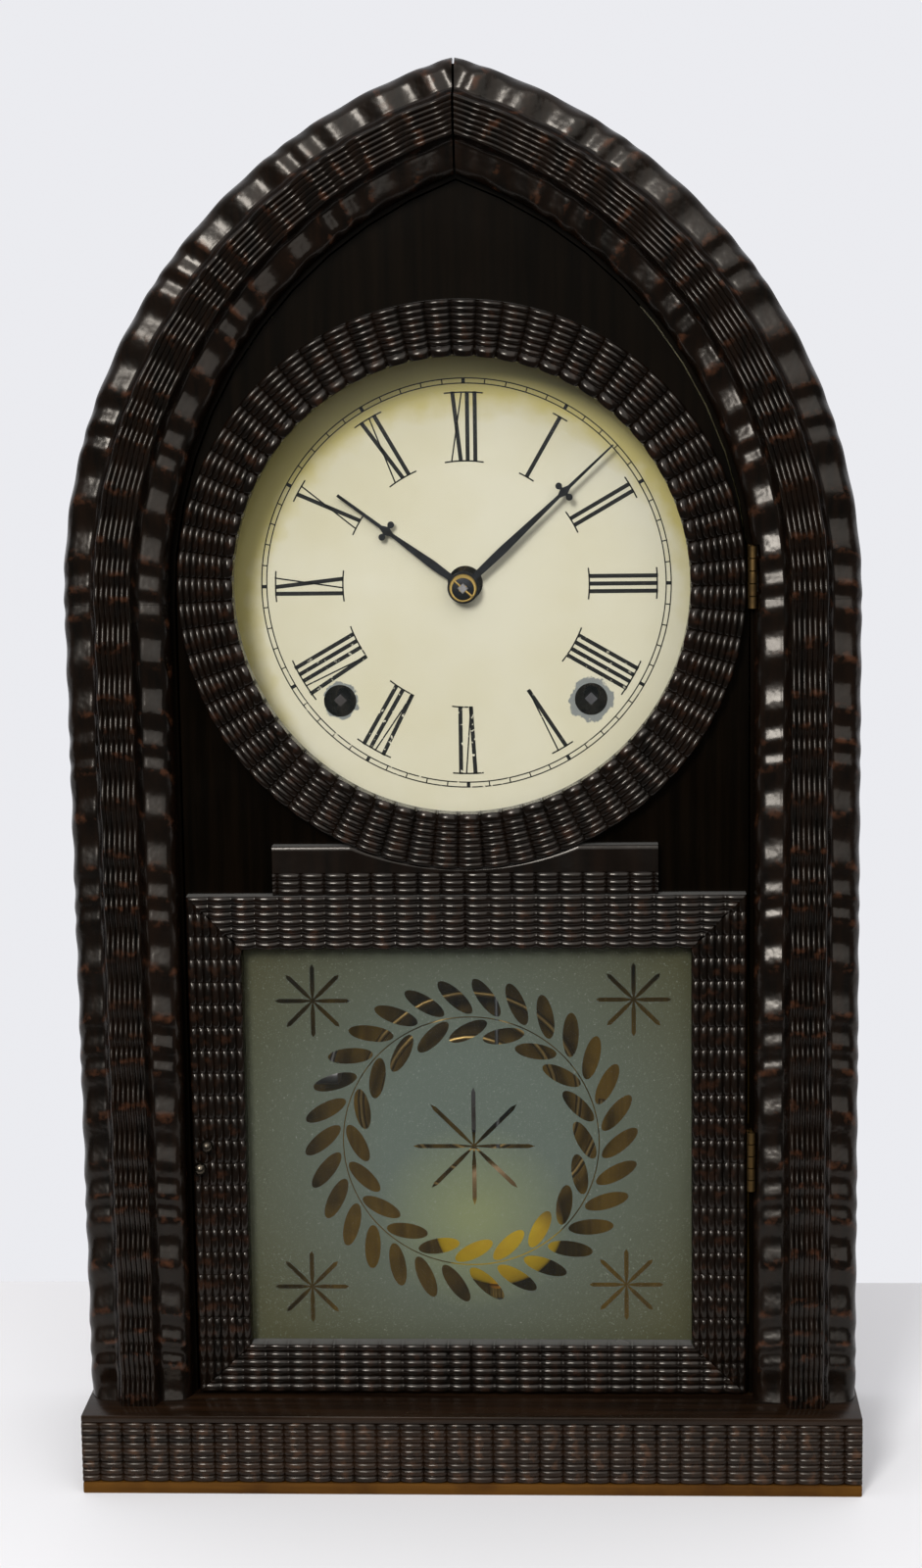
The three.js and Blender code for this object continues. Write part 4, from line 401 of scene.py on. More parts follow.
class Finish(Nodes):
    """A procedural material under construction."""

    def __init__(self, name):
        self.material = bpy.data.materials.new(name)
        self.material.use_nodes = True
        super().__init__(self.material.node_tree)
        self.surface = self.tree.nodes["Principled BSDF"]
        self.place = self.node("ShaderNodeTexCoord")["Object"]

    def shade(self, **values):
        """Sets inputs of the surface, with underscores for the spaces in their names."""
        for key, value in values.items():
            self.feed(self.surface.inputs[key.replace("_", " ")], value)

    def noise(self, scale, detail, stretch=(1.0, 1.0, 1.0)):
        place = self.node("ShaderNodeMapping", {"Vector": self.place, "Scale": stretch})["Vector"]
        inputs = {"Vector": place, "Scale": scale, "Detail": detail, "Roughness": NOISE_ROUGHNESS}
        return self.node("ShaderNodeTexNoise", inputs)["Fac"]

    def near(self, point, radii, shares=(1.0, 0.0), frayed=None):
        """A share that goes from one value to another between two distances from a point."""
        inputs = {0: self.place, 1: tuple(MM * value for value in point)}
        reach = self.node("ShaderNodeVectorMath", inputs, operation="DISTANCE")["Value"]
        if frayed is not None:
            reach = self.combine("ADD", reach, frayed)
        return self.remap(reach, MM * radii[0], MM * radii[1], *shares)

    def wobble(self, noise, reach):
        """A distance that wanders to both sides of nought."""
        return self.remap(self.noise(*noise), *MIDDLE, -MM * reach, MM * reach)

    def stray(self, value, span, middle, spread):
        """A number that strays from its middle as a value goes through a span."""
        return self.remap(value, *span, middle + spread[0], middle + spread[1])

    def ramp(self, value, places, colours):
        """A colour that runs through several, each at its own place in the range of a value."""
        node = self.tree.nodes.new("ShaderNodeValToRGB")
        elements = node.color_ramp.elements
        while len(elements) < len(places):
            elements.new(1.0)
        for element, place, colour in zip(elements, places, colours):
            element.position = place
            element.color = (*colour, 1.0)
        self.feed(node.inputs["Fac"], value)
        return node.outputs["Color"]

    def mix(self, share, first, second):
        node = self.tree.nodes.new("ShaderNodeMix")
        node.data_type = "RGBA"
        self.feed(node.inputs["Factor"], share)
        for key, colour in (("A", first), ("B", second)):
            socket = next(s for s in node.inputs if s.name == key and s.type == "RGBA")
            self.feed(socket, (*colour, 1.0) if isinstance(colour, tuple) else colour)
        return next(s for s in node.outputs if s.type == "RGBA")

    def bump(self, height, depth, strength):
        inputs = {"Height": height, "Distance": depth * MM, "Strength": strength}
        self.shade(Normal=self.node("ShaderNodeBump", inputs)["Normal"])


def varnished_wood(name, dark, light, worn, grain, roughness, gloss, pores, dust=0.0, uneven=0.0):
    """Dark wood under old varnish, worn on the crests that a mesh marks, with dust on its level tops."""
    finish = Finish(name)
    figure = finish.ramp(finish.noise(*GRAIN_NOISE, grain), DRIFT_SPAN, (dark, light))
    patches = finish.remap(finish.noise(*WEAR_NOISE), *WEAR_SPAN)
    crests = finish.node("ShaderNodeAttribute", attribute_name="wear")["Fac"]
    rubbed = finish.times(crests, patches)
    upward = finish.along(finish.node("ShaderNodeNewGeometry")["Normal"], "Z")
    dusty = finish.remap(upward, *LEVEL_SPAN, 0.0, dust)
    grey = (0.10, 0.097, 0.09)
    finish.shade(
        Base_Color=finish.mix(dusty, finish.mix(rubbed, figure, worn), grey),
        Roughness=finish.stray(finish.noise(*SHEEN_NOISE), MIDDLE, roughness, VARNISH_SPREAD),
        Specular_IOR_Level=gloss,
        Specular_Tint=(1.0, 0.92, 0.82, 1.0),
    )
    lumps = finish.times(finish.noise(*LUMP_NOISE), uneven)
    finish.bump(finish.combine("ADD", finish.noise(*PORE_NOISE), lumps), depth=0.16, strength=pores)
    return finish.material


def bare_wood(name, pale, brown, stain, grain, roughness, gloss):
    """Unvarnished or worn board with open grain and stains."""
    finish = Finish(name)
    figure = finish.noise(*BOARD_NOISE, grain)
    body = finish.ramp(figure, BOARD_STOPS, (brown, pale, brown))
    stains = finish.remap(finish.noise(*STAIN_NOISE), *STAIN_SPAN)
    finish.shade(
        Base_Color=finish.mix(stains, body, stain),
        Roughness=finish.stray(figure, MIDDLE, roughness, BOARD_SPREAD),
        Specular_IOR_Level=gloss,
    )
    finish.bump(figure, depth=0.2, strength=0.4)
    return finish.material


def metal(name, bright, tarnish, roughness, tarnish_scale=TARNISH_SCALE, metallic=1.0, shaded_top=None):
    """Metal with cloudy tarnish and fine scratches; on the bob, a darker brown is painted as shade away from
    its foot.
    """
    finish = Finish(name)
    clouds = finish.remap(finish.noise(tarnish_scale, TARNISH_DETAIL), *TARNISH_SPAN)
    colour = finish.mix(clouds, bright, tarnish)
    # Painted shade: the bob turns darker brown towards its top
    if shaded_top:
        high = finish.near((*PENDULUM, BOB_Z - BOB_RADIUS), BOB_SHADE_FROM, (0.0, 1.0))
        colour = finish.mix(high, colour, shaded_top)
    finish.shade(
        Base_Color=colour,
        Metallic=metallic,
        Roughness=finish.stray(clouds, (0.0, 1.0), roughness, METAL_SPREAD),
    )
    finish.bump(finish.noise(*SCRATCH_NOISE), depth=0.03, strength=0.3)
    return finish.material


def black_paint(name):
    """Thin black paint, a little worn at its grain and chipped to the ground low on the dial."""
    finish = Finish(name)
    speckle = finish.noise(*SPECKLE_NOISE)
    black = (0.006, 0.006, 0.005)
    brown = (0.03, 0.027, 0.02)
    ground = (0.70, 0.66, 0.50)
    paint = finish.ramp(speckle, SPECKLE_STOPS, (black, brown))
    chips = finish.remap(finish.noise(*CHIP_NOISE), *CHIP_SPAN)
    finish.shade(
        Base_Color=finish.mix(finish.times(chips, finish.near(CHIP_CENTRE, CHIP_RADII)), paint, ground),
        Roughness=finish.remap(speckle, *MIDDLE, 0.4, 0.6),
        Specular_IOR_Level=0.2,
    )
    return finish.material


def dial_paint(name):
    """Ivory paint that yellows towards the rim and is worn grey round the winding holes."""
    finish = Finish(name)
    ivory = (0.73, 0.69, 0.52)
    cream = (0.66, 0.61, 0.41)
    yellow = (0.54, 0.45, 0.12)
    grey = (0.17, 0.19, 0.19)
    clouds = finish.noise(*CLOUD_NOISE)
    face = finish.mix(finish.remap(clouds, *DRIFT_SPAN), ivory, cream)
    wandering = finish.wobble(WOBBLE_NOISE, STAIN_WOBBLE)
    stained = finish.near(STAIN_CENTRE, STAIN_RADII, (0.0, STAIN_SHARE), wandering)
    kept = finish.near((HUB[0], DIAL_FRONT_Y, HUB[1]), STAIN_FADE_RADII, (1.0, STAIN_FADE_SHARE))
    face = finish.mix(finish.times(stained, kept), face, yellow)
    ragged = finish.wobble(FRAY_NOISE, WORN_WOBBLE)
    for (x, z), radii in zip(WINDING_CENTRES, WORN_RADII):
        bare = finish.near((x, DIAL_FRONT_Y, z), radii, (WORN_SHARE, 0.0), ragged)
        face = finish.mix(bare, face, grey)
    finish.shade(
        Base_Color=face,
        Roughness=finish.remap(clouds, *MIDDLE, 0.4, 0.55),
        Specular_IOR_Level=0.4,
    )
    finish.bump(finish.noise(*BRUSH_NOISE), depth=0.05, strength=0.25)
    return finish.material


def clouded(name, noise, first, second, **values):
    """A plain surface that drifts between two colours."""
    finish = Finish(name)
    colour = finish.ramp(finish.noise(*noise), MIDDLE, (first, second))
    finish.shade(Base_Color=colour, **values)
    return finish.material


def frost(name):
    """Etched glass: grey-green, with painted shade darkening it to olive at its edges and a painted yellow
    glow of the lit bob low down.
    """
    finish = Finish(name)
    y = corners("tablet_glass")[1][1] + FROST_GAP
    grain = finish.noise(*ETCH_NOISE)
    # Painted shade: the etched layer darkens to olive towards its edges, where the frame shades it
    edges = finish.near((WREATH_CENTRE[0], y, WREATH_CENTRE[1]), FROST_SHADE_RADII, (0.0, 1.0))
    green = (0.100, 0.122, 0.098)
    edge_shade_olive = (0.060, 0.058, 0.024)
    yellow = (0.20, 0.22, 0.10)
    grey = (0.32, 0.34, 0.30)
    base = finish.mix(edges, green, edge_shade_olive)
    # Painted light: a yellow glow of the lit bob, painted low on the etched glass
    painted_glow = finish.near((PAINTED_GLOW_CENTRE[0], y, PAINTED_GLOW_CENTRE[1]), PAINTED_GLOW_RADII, (PAINTED_GLOW_SHARE, 0.0))
    base = finish.mix(painted_glow, base, yellow)
    speckle = finish.remap(grain, *ETCH_SPAN, 0.0, ETCH_SHARE)
    finish.shade(
        Base_Color=finish.mix(speckle, base, grey),
        Roughness=finish.remap(grain, *MIDDLE, 0.5, 0.75),
        Specular_IOR_Level=0.2,
    )
    finish.bump(grain, depth=0.02, strength=0.4)
    return finish.material


ALONG_Z = (1.0, 1.0, 0.05)
ALONG_X = (0.05, 1.0, 1.0)
DARK = varnished_wood("dark_varnish", dark=(0.002, 0.0013, 0.0008), light=(0.006, 0.003, 0.0016),
                      worn=(0.022, 0.009, 0.0045), grain=ALONG_Z, roughness=0.2, gloss=0.28, pores=0.3,
                      dust=0.9)
RUBBED = varnished_wood("rubbed_varnish", dark=(0.002, 0.0013, 0.0008), light=(0.007, 0.0033, 0.0016),
                        worn=(0.05, 0.019, 0.009), grain=ALONG_Z, roughness=0.24, gloss=0.26, pores=0.3,
                        uneven=8.0)
DARK_BASE = varnished_wood("dark_varnish_base", dark=(0.004, 0.0022, 0.0012), light=(0.016, 0.0075, 0.0035),
                           worn=(0.05, 0.022, 0.01), grain=ALONG_X, roughness=0.24, gloss=0.24, pores=0.3)
VENEER = varnished_wood("veneer", dark=(0.0012, 0.0008, 0.0004), light=(0.0034, 0.002, 0.001),
                        worn=(0.01, 0.005, 0.004), grain=ALONG_Z, roughness=0.22, gloss=0.03, pores=0.05)
GOLDEN = bare_wood("golden_wood", pale=(0.085, 0.036, 0.005), brown=(0.042, 0.016, 0.0026),
                   stain=(0.028, 0.01, 0.002), grain=ALONG_X, roughness=0.6, gloss=0.05)
PINE = bare_wood("pine", pale=(0.11, 0.064, 0.009), brown=(0.055, 0.03, 0.005),
                 stain=(0.012, 0.007, 0.002), grain=ALONG_Z, roughness=0.65, gloss=0.1)
DIAL = dial_paint("dial_paint")
GLASS = clouded("glass", HAZE_NOISE, (0.05, 0.06, 0.055), (0.09, 0.10, 0.095), Roughness=0.04,
                Alpha=0.06)
FLOOR = clouded("floor_paint", FLOOR_NOISE, (0.77, 0.76, 0.76), (0.75, 0.74, 0.74), Roughness=0.8,
                Specular_IOR_Level=0.1)
FROST = frost("frost")
PRINT = black_paint("dial_print")
BRASS = metal("brass", bright=(0.72, 0.50, 0.15), tarnish=(0.36, 0.22, 0.06), roughness=0.3)
DULL_BRASS = metal("dull_brass", bright=(0.13, 0.08, 0.03), tarnish=(0.045, 0.028, 0.012), roughness=0.42,
                   tarnish_scale=160.0)
KNOB = metal("darkened_brass", bright=(0.09, 0.075, 0.055), tarnish=(0.03, 0.025, 0.02), roughness=0.22,
             tarnish_scale=160.0)
STRAW_STEEL = metal("straw_steel", bright=(0.30, 0.20, 0.07), tarnish=(0.10, 0.065, 0.025), roughness=0.4)
# The bob's darker brown top is painted shade
BOB_BRASS = metal("bob_brass", bright=(0.66, 0.44, 0.02), tarnish=(0.48, 0.29, 0.015), roughness=0.4,
                  metallic=0.4, shaded_top=(0.10, 0.055, 0.012))
STEEL = metal("steel", bright=(0.42, 0.42, 0.43), tarnish=(0.16, 0.14, 0.12), roughness=0.3)
BLACK_STEEL = metal("black_steel", bright=(0.022, 0.023, 0.026), tarnish=(0.012, 0.011, 0.01), roughness=0.4,
                    tarnish_scale=220.0)
IRON = metal("iron", bright=(0.10, 0.10, 0.105), tarnish=(0.06, 0.045, 0.035), roughness=0.55)
FINISH_OF_SLOT = {
    "dark_varnish": DARK,
    "veneer": VENEER,
    "golden_wood": GOLDEN,
    "pine": PINE,
    "ivory_paint": DIAL,
    "frosted_glass": GLASS,
    "clear_glass": GLASS,
    "brass": BRASS,
    "dull_brass": DULL_BRASS,
    "steel": STEEL,
    "black_steel": BLACK_STEEL,
    "iron": IRON,
}
# Painted shade: the front frame, seen only in the dark gap beside the door, takes the dark veneer; the
# movement's front plate takes darkened brass and the winding arbors take dark iron, so the winding holes
# look dark inside
SHADE_FINISH_OF_NODE = {
    "front_frame": VENEER,
    "movement_front_plate": KNOB,
    "time_winding_arbor": IRON,
    "strike_winding_arbor": IRON,
}
BODIES = frame["record"]["behaviour"]["bodies"]
BODY_OF_NODE = {node: body for body, nodes in BODIES.items() for node in nodes}
SLOT_OF_NODE = {part["node"]: part["material_slot"] for part in frame["record"]["subparts"]}

for node, item in frame["nodes"].items():
    item.data.materials.clear()
    item.data.materials.append(SHADE_FINISH_OF_NODE.get(node, FINISH_OF_SLOT[SLOT_OF_NODE[node]]))


class Skin:
    """Points in millimetres and faces, gathered from simple shells into one mesh."""

    def __init__(self):
        self.points = []
        self.faces = []
        self.wear = []

    def add(self, points, faces, wear=None):
        first = len(self.points)
        self.points.extend(tuple(point) for point in points)
        self.faces.extend(tuple(first + index for index in face) for face in faces)
        self.wear.extend(wear if wear is not None else [0.0] * len(points))
        return self

    def add_mesh(self, mesh, place=tuple):
        """Adds a bmesh and frees it; place gives each vertex its point."""
        mesh.verts.index_update()
        faces = [[vertex.index for vertex in face.verts] for face in mesh.faces]
        self.add([place(vertex.co) for vertex in mesh.verts], faces)
        mesh.free()
        return self

    def loft(self, rings, closed=False, wear=None):
        """Joins equal rings of points, capped at both ends or closed into a loop."""
        rings = np.asarray(rings, float)
        total, count = rings.shape[:2]
        faces = []
        for i in range(total if closed else total - 1):
            a = i * count
            b = ((i + 1) % total) * count
            faces.extend((a + j, a + (j + 1) % count, b + (j + 1) % count, b + j) for j in range(count))
        if not closed:
            faces.append(tuple(reversed(range(count))))
            faces.append(tuple((total - 1) * count + j for j in range(count)))
        return self.add(rings.reshape(-1, 3), faces, None if wear is None else np.asarray(wear).reshape(-1))

    def tube(self, path, radius):
        """A round wire along a path of points; radius may be one number or one for each point."""
        path = np.asarray(path, float)
        radii = np.broadcast_to(np.asarray(radius, float), len(path))
        tangents = np.gradient(path, axis=0)
        tangents /= np.linalg.norm(tangents, axis=1)[:, None]
        helper = np.array(BACKWARD if abs(tangents[0][1]) < STEEP else RIGHT)
        angles = np.linspace(0.0, TURN, TUBE_SIDES, endpoint=False)[:, None]
        rings = []
        for point, tangent, size in zip(path, tangents, radii):
            side = np.cross(helper, tangent)
            side /= np.linalg.norm(side)
            rings.append(point + size * (np.cos(angles) * side + np.sin(angles) * np.cross(tangent, side)))
        return self.loft(rings)

    def turned(self, profile, centre, axis, sides=ROUND_SIDES):
        """Turns a profile of (radius, distance along the axis) round a line through a centre."""
        angles = np.linspace(0.0, TURN, sides, endpoint=False)
        rings = []
        for radius, along in profile:
            ring = [radius * np.cos(angles), radius * np.sin(angles), np.full(sides, along)]
            rings.append(np.roll(np.stack(ring, axis=-1), "ZXY".index(axis), axis=-1) + centre)
        return self.loft(rings)

    def slab(self, low, high, edge=0.0):
        """A board between two corners, with its edges eased."""
        box = bmesh.new()
        bmesh.ops.create_cube(box, size=1.0)
        size = Vector(high) - Vector(low)
        middle = (Vector(high) + Vector(low)) / 2
        for vertex in box.verts:
            vertex.co = Vector(a * b for a, b in zip(vertex.co, size)) + middle
        if edge:
            bmesh.ops.bevel(box, geom=box.edges[:], offset=edge, segments=2, affect="EDGES", profile=0.5)
        return self.add_mesh(box)


def new_object(name, data):
    made = bpy.data.objects.new(name, data)
    bpy.context.scene.collection.objects.link(made)
    return made


def piece(name, skin, finish, body, replaces=(), slot=None, sharp=SHARP_ANGLE):
    """Makes a mesh object from a skin, rides it on a body and lets it stand for solids."""
    mesh = bpy.data.meshes.new(name)
    mesh.from_pydata([tuple(MM * value for value in point) for point in skin.points], [], skin.faces)
    if any(skin.wear):
        mesh.attributes.new("wear", "FLOAT", "POINT").data.foreach_set("value", skin.wear)
    tidy = bmesh.new()
    tidy.from_mesh(mesh)
    bmesh.ops.recalc_face_normals(tidy, faces=tidy.faces[:])
    tidy.to_mesh(mesh)
    tidy.free()
    mesh.shade_smooth()
    mesh.set_sharp_from_angle(angle=math.radians(sharp))
    mesh.materials.append(finish)
    made = new_object(name, mesh)
    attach(made, body)
    if replaces:
        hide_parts(*replaces)
    return made


def stand_in(node, skin, finish=None, sharp=SHARP_ANGLE):
    """A finer piece in the place of one solid."""
    slot = SLOT_OF_NODE[node]
    piece(f"{node}_fine", skin, finish or FINISH_OF_SLOT[slot], BODY_OF_NODE[node], (node,), slot, sharp)


def filled(outlines, front, back):
    """A flat skin standing in the plane of the dial, from outlines that may hold holes and islands."""
    curve = bpy.data.curves.new("outline", "CURVE")
    curve.dimensions = "2D"
    curve.fill_mode = "BOTH"
    curve.extrude = (back - front) / 2
    for outline in outlines:
        spline = curve.splines.new("POLY")
        spline.points.add(len(outline) - 1)
        for point, (x, z) in zip(spline.points, outline):
            point.co = (x, z, 0.0, 1.0)
        spline.use_cyclic_u = True
    holder = new_object("outline", curve)
    bpy.context.view_layer.update()
    welded = bmesh.new()
    welded.from_mesh(holder.evaluated_get(bpy.context.evaluated_depsgraph_get()).to_mesh())
    bmesh.ops.remove_doubles(welded, verts=welded.verts[:], dist=WELD_DISTANCE)
    middle = (front + back) / 2
    skin = Skin().add_mesh(welded, lambda point: (point.x, middle - point.z, point.y))
    holder.to_mesh_clear()
    bpy.data.objects.remove(holder)
    bpy.data.curves.remove(curve)
    return skin


def placed(centre, angle, x, z):
    """A point of a figure that is turned anticlockwise, seen from the front, and moved to a centre."""
    sine, cosine = math.sin(angle), math.cos(angle)
    return centre[0] + x * cosine - z * sine, centre[1] + x * sine + z * cosine


def circle(centre, radius, sides=FINE_SIDES):
    return [placed(centre, TURN * i / sides, radius, 0.0) for i in range(sides)]


def spiral(radii, turns):
    """Angles and radii along a flat spiral."""
    shares = np.linspace(0.0, 1.0, turns * SPIRAL_STEPS + 1)
    return [(TURN * turns * share, radii[0] + (radii[1] - radii[0]) * share) for share in shares]


def at_depth(point, y):
    return point[0], y, point[1]


# Case
def arch_half(half_width, bottom):
    """Right half of the pointed arch, from its foot to its apex."""
    radius = ARCH_RADIUS - CASE_HALF_WIDTH + half_width
    apex = math.acos(ARCH_CENTRE / radius)
    centre = (-ARCH_CENTRE, SPRINGING_HEIGHT)
    arc = [placed(centre, apex * i / ARCH_STEPS, radius, 0.0) for i in range(ARCH_STEPS + 1)]
    return [(half_width, bottom), *arc]


def make_case():
    low, high = corners("case_side_right")
    outside = arch_half(high[0], low[2])
    inside = arch_half(high[0] - SIDE_THICKNESS, low[2])
    for side, word in SIDES:
        outline = [(side * x, z) for x, z in outside + inside[::-1]]
        stand_in(f"case_side_{word}", filled([outline], low[1], high[1]))
    low, high = corners("backboard")
    right = arch_half(high[0], low[2])
    left = [(-x, z) for x, z in reversed(right[:-1])]
    stand_in("backboard", filled([right + left], low[1], high[1]))


# Ripple moulding
def flat(origin, across_axis, along_axis):
    """A way to place columns, heights and rows on a plane that faces forward."""
    axes = np.array([across_axis, FORWARD, along_axis])

    def place(across, height, along):
        return np.array(origin) + np.stack([across, height, along], axis=-1) @ axes

    return place


def swell(along):
    """Waves at distances along the moulding, from -1 in a trough to 1 on a crest, and their heights."""
    gaps = np.array(WAVE_CREST_GAPS)
    crests = np.concatenate([[0.0], np.cumsum(gaps)])
    place = np.mod(along - WAVE_START, crests[-1])
    step = np.clip(np.searchsorted(crests, place, side="right") - 1, 0, len(gaps) - 1)
    height = np.minimum(WAVE_HEIGHT, WAVE_STEEPNESS * gaps / TURN)
    return np.cos(TURN * (place - crests[step]) / gaps[step]), height[step]


def moulding_columns():
    shoulder = MOULDING_SLOPE_WIDTH - MOULDING_STEP_WIDTH
    rising = np.concatenate([
        np.linspace(0.0, shoulder, SLOPE_COLUMNS, endpoint=False),
        np.linspace(shoulder, MOULDING_SLOPE_WIDTH, STEP_COLUMNS, endpoint=False),
    ])
    flat_end = MOULDING_WIDTH - MOULDING_SLOPE_WIDTH
    reeded = np.linspace(MOULDING_SLOPE_WIDTH, flat_end, MOULDING_REEDS * REED_COLUMNS + 1)
    return np.concatenate([rising, reeded, MOULDING_WIDTH - rising[::-1]])


def moulding_height(across):
    """Profile of the moulding: a roll, a step up to the reeded flat, and the same again mirrored."""
    from_edge = np.minimum(across, MOULDING_WIDTH - across)
    shoulder_at = MOULDING_SLOPE_WIDTH - MOULDING_STEP_WIDTH
    shoulder = MOULDING_RELIEF - MOULDING_REED_DEPTH - MOULDING_STEP
    off_roll = 1.0 - np.clip(from_edge / MOULDING_ROLL_WIDTH, 0.0, 1.0)
    roll = (shoulder - MOULDING_SLOPE_RISE - MOULDING_EDGE) * (1.0 - off_roll ** MOULDING_CURVE)
    slope = MOULDING_SLOPE_RISE * np.clip(from_edge / shoulder_at, 0.0, 1.0)
    climb = np.clip((from_edge - shoulder_at) / MOULDING_STEP_WIDTH, 0.0, 1.0) ** MOULDING_CURVE
    flat_width = MOULDING_WIDTH - 2 * MOULDING_SLOPE_WIDTH
    turn = np.pi * MOULDING_REEDS * (across - MOULDING_SLOPE_WIDTH) / flat_width
    reed = np.where(from_edge >= MOULDING_SLOPE_WIDTH, np.abs(np.sin(turn)) ** REED_POWER, 0.0)
    return MOULDING_EDGE + roll + slope + MOULDING_STEP * climb + MOULDING_REED_DEPTH * reed


def rippled(node, front, back, wave, finish=None, sharp=RIPPLE_SHARP_ANGLE, closed=False):
    """A piece from rows of points on its rippled front and its plain back, worn on its crests."""
    crests = np.clip((wave - WORN_FROM) / (1.0 - WORN_FROM), 0.0, 1.0)
    wear = np.concatenate([np.broadcast_to(crests, front.shape[:2]), np.zeros(back.shape[:2])], axis=1)
    stand_in(node, Skin().loft(np.concatenate([front, back], axis=1), closed, wear), finish, sharp)


def make_hinge_notches(points):
    """Lowers the moulding's inner edge where the hinge knuckles stand."""
    floor = HINGE_AXIS[1] + HINGE_NOTCH_REACH
    near = points[..., 0] < HINGE_AXIS[0] + HINGE_NOTCH_REACH
    for word in HINGES:
        low, high = corners(f"hinge_{word}_case_leaf")
        beside = (points[..., 2] > low[2] - HINGE_GAP) & (points[..., 2] < high[2] + HINGE_GAP)
        points[..., 1] = np.where(near & beside, np.maximum(points[..., 1], floor), points[..., 1])


def moulding(node, side, start, end, place):
    """One length of moulding; end gives how far from the springing each column runs, to a flat mitre."""
    across = moulding_columns()
    height = moulding_height(across)
    length = np.max(end(across)) - start
    share = np.linspace(0.0, 1.0, int(length / ROW_STEP) + 1)[:, None]
    lag = WAVE_LAG * (MOULDING_RELIEF - np.maximum(height, MOULDING_EDGE))
    wave, rise = swell(start + share * (end(across) - start) + lag)
    shifted = across - wave * WAVE_EDGE * (1.0 - across / MOULDING_WIDTH) ** WAVE_EDGE_FADE
    front = place(shifted, height + rise * (wave - 1.0), start + share * (end(shifted) - start))
    edges = np.array([MOULDING_WIDTH, 0.0]) * np.ones_like(share)
    back = place(edges, np.zeros_like(edges), start + share * (end(edges) - start))
    if side > 0:
        make_hinge_notches(front)
    mirror = np.array([side, 1.0, 1.0])
    rippled(node, front * mirror, back * mirror, wave, RUBBED, MOULDING_SHARP_ANGLE)


def make_mouldings():
    foot = MOULDING_LOW[2] - SPRINGING_HEIGHT
    middle_radius = ARCH_RADIUS - MOULDING_WIDTH / 2
    upright = flat((CASE_HALF_WIDTH, MOULDING_BACK_Y, SPRINGING_HEIGHT), (-1.0, 0.0, 0.0), UP)

    def upright_end(across):
        return np.full_like(across, -MITRE_GAP / 2)

    def arch(across, height, along):
        angle = along / middle_radius
        radius = ARCH_RADIUS - across
        x = radius * np.cos(angle) - ARCH_CENTRE
        return np.stack([x, MOULDING_BACK_Y - height, SPRINGING_HEIGHT + radius * np.sin(angle)], axis=-1)

    def arch_end(across):
        return middle_radius * np.arccos((ARCH_CENTRE + APEX_GAP / 2) / (ARCH_RADIUS - across))

    for side, word in SIDES:
        moulding(f"moulding_{word}_upright", side, foot, upright_end, upright)
        moulding(f"moulding_{word}_arch", side, MITRE_GAP / 2, arch_end, arch)


# Fine ripple strips
def reed_profile(across, width, thickness, count):
    return thickness - REED_DEPTH * (1.0 - np.abs(np.sin(np.pi * count * across / width)) ** REED_POWER)


def ripple(turns, power=RIPPLE_POWER):
    """Height of the fine ripples, from -1 in their grooves to 1 on their crests."""
    return 2.0 * np.abs(np.sin(np.pi * turns)) ** power - 1.0


def ripple_strip(node, width, thickness, reeds, start, end, place, finish=None):
    """A reeded and rippled strip; start and end are lines, given by a place and a slope across it."""
    length = max(end[0] - start[0] + (end[1] - start[1]) * edge for edge in (0.0, width))
    share = np.linspace(0.0, 1.0, int(length / RIPPLE_PITCH * RIPPLE_ROWS) + 1)[:, None]

    def rows(across):
        first, last = (line[0] + line[1] * across for line in (start, end))
        return first + share * (last - first)

    across = np.linspace(0.0, width, reeds * REED_COLUMNS + 1)
    along = rows(across)
    wave = ripple(along / RIPPLE_PITCH)
    height = reed_profile(across, width, thickness, reeds) + RIPPLE_HEIGHT * (wave - 1.0)
    shifted = across + RIPPLE_EDGE * (wave - 1.0) * across / width
    edges = np.array([width, 0.0]) * np.ones_like(share)
    back = place(edges, np.zeros_like(edges), rows(edges))
    rippled(node, place(shifted, height, along), back, wave, finish)


def make_tablet_frame():
    (inner, front, _), (outer, back, _) = corners("tablet_stile_right")
    bottom, low_inner = (corner[2] for corner in corners("tablet_rail_bottom"))
    top = corners("tablet_rail_top")[1][2]
    width, low_width, thickness = outer - inner, low_inner - bottom, back - front
    slope = low_width / width
    reach = outer - MITRE_GAP
    for side, word in SIDES:
        place = flat((side * outer, back, 0.0), (-side, 0.0, 0.0), UP)
        ripple_strip(f"tablet_stile_{word}", width, thickness, STRIP_REEDS,
                     (bottom + MITRE_GAP, slope), (top - MITRE_GAP, -1.0), place)
    ripple_strip("tablet_rail_top", width, thickness, STRIP_REEDS,
                 (-reach, 1.0), (reach, -1.0), flat((0.0, back, top), DOWN, RIGHT))
    ripple_strip("tablet_rail_bottom", low_width, thickness, LOW_STRIP_REEDS,
                 (-reach, 1.0 / slope), (reach, -1.0 / slope), flat((0.0, back, bottom), UP, RIGHT))


def make_base():
    (left, front, bottom), (right, back, top) = corners("base_ripple_strip")
    ripple_strip("base_ripple_strip", top - bottom, back - front, BASE_REEDS,
                 (left, 0.0), (right, 0.0), flat((0.0, back, bottom), UP, RIGHT), DARK_BASE)
    boards = {"base_bottom_board": GOLDEN, "base_core": DARK_BASE, "base_top_board": DARK_BASE}
    for node, finish in boards.items():
        stand_in(node, Skin().slab(*corners(node), BOARD_EDGE), finish)


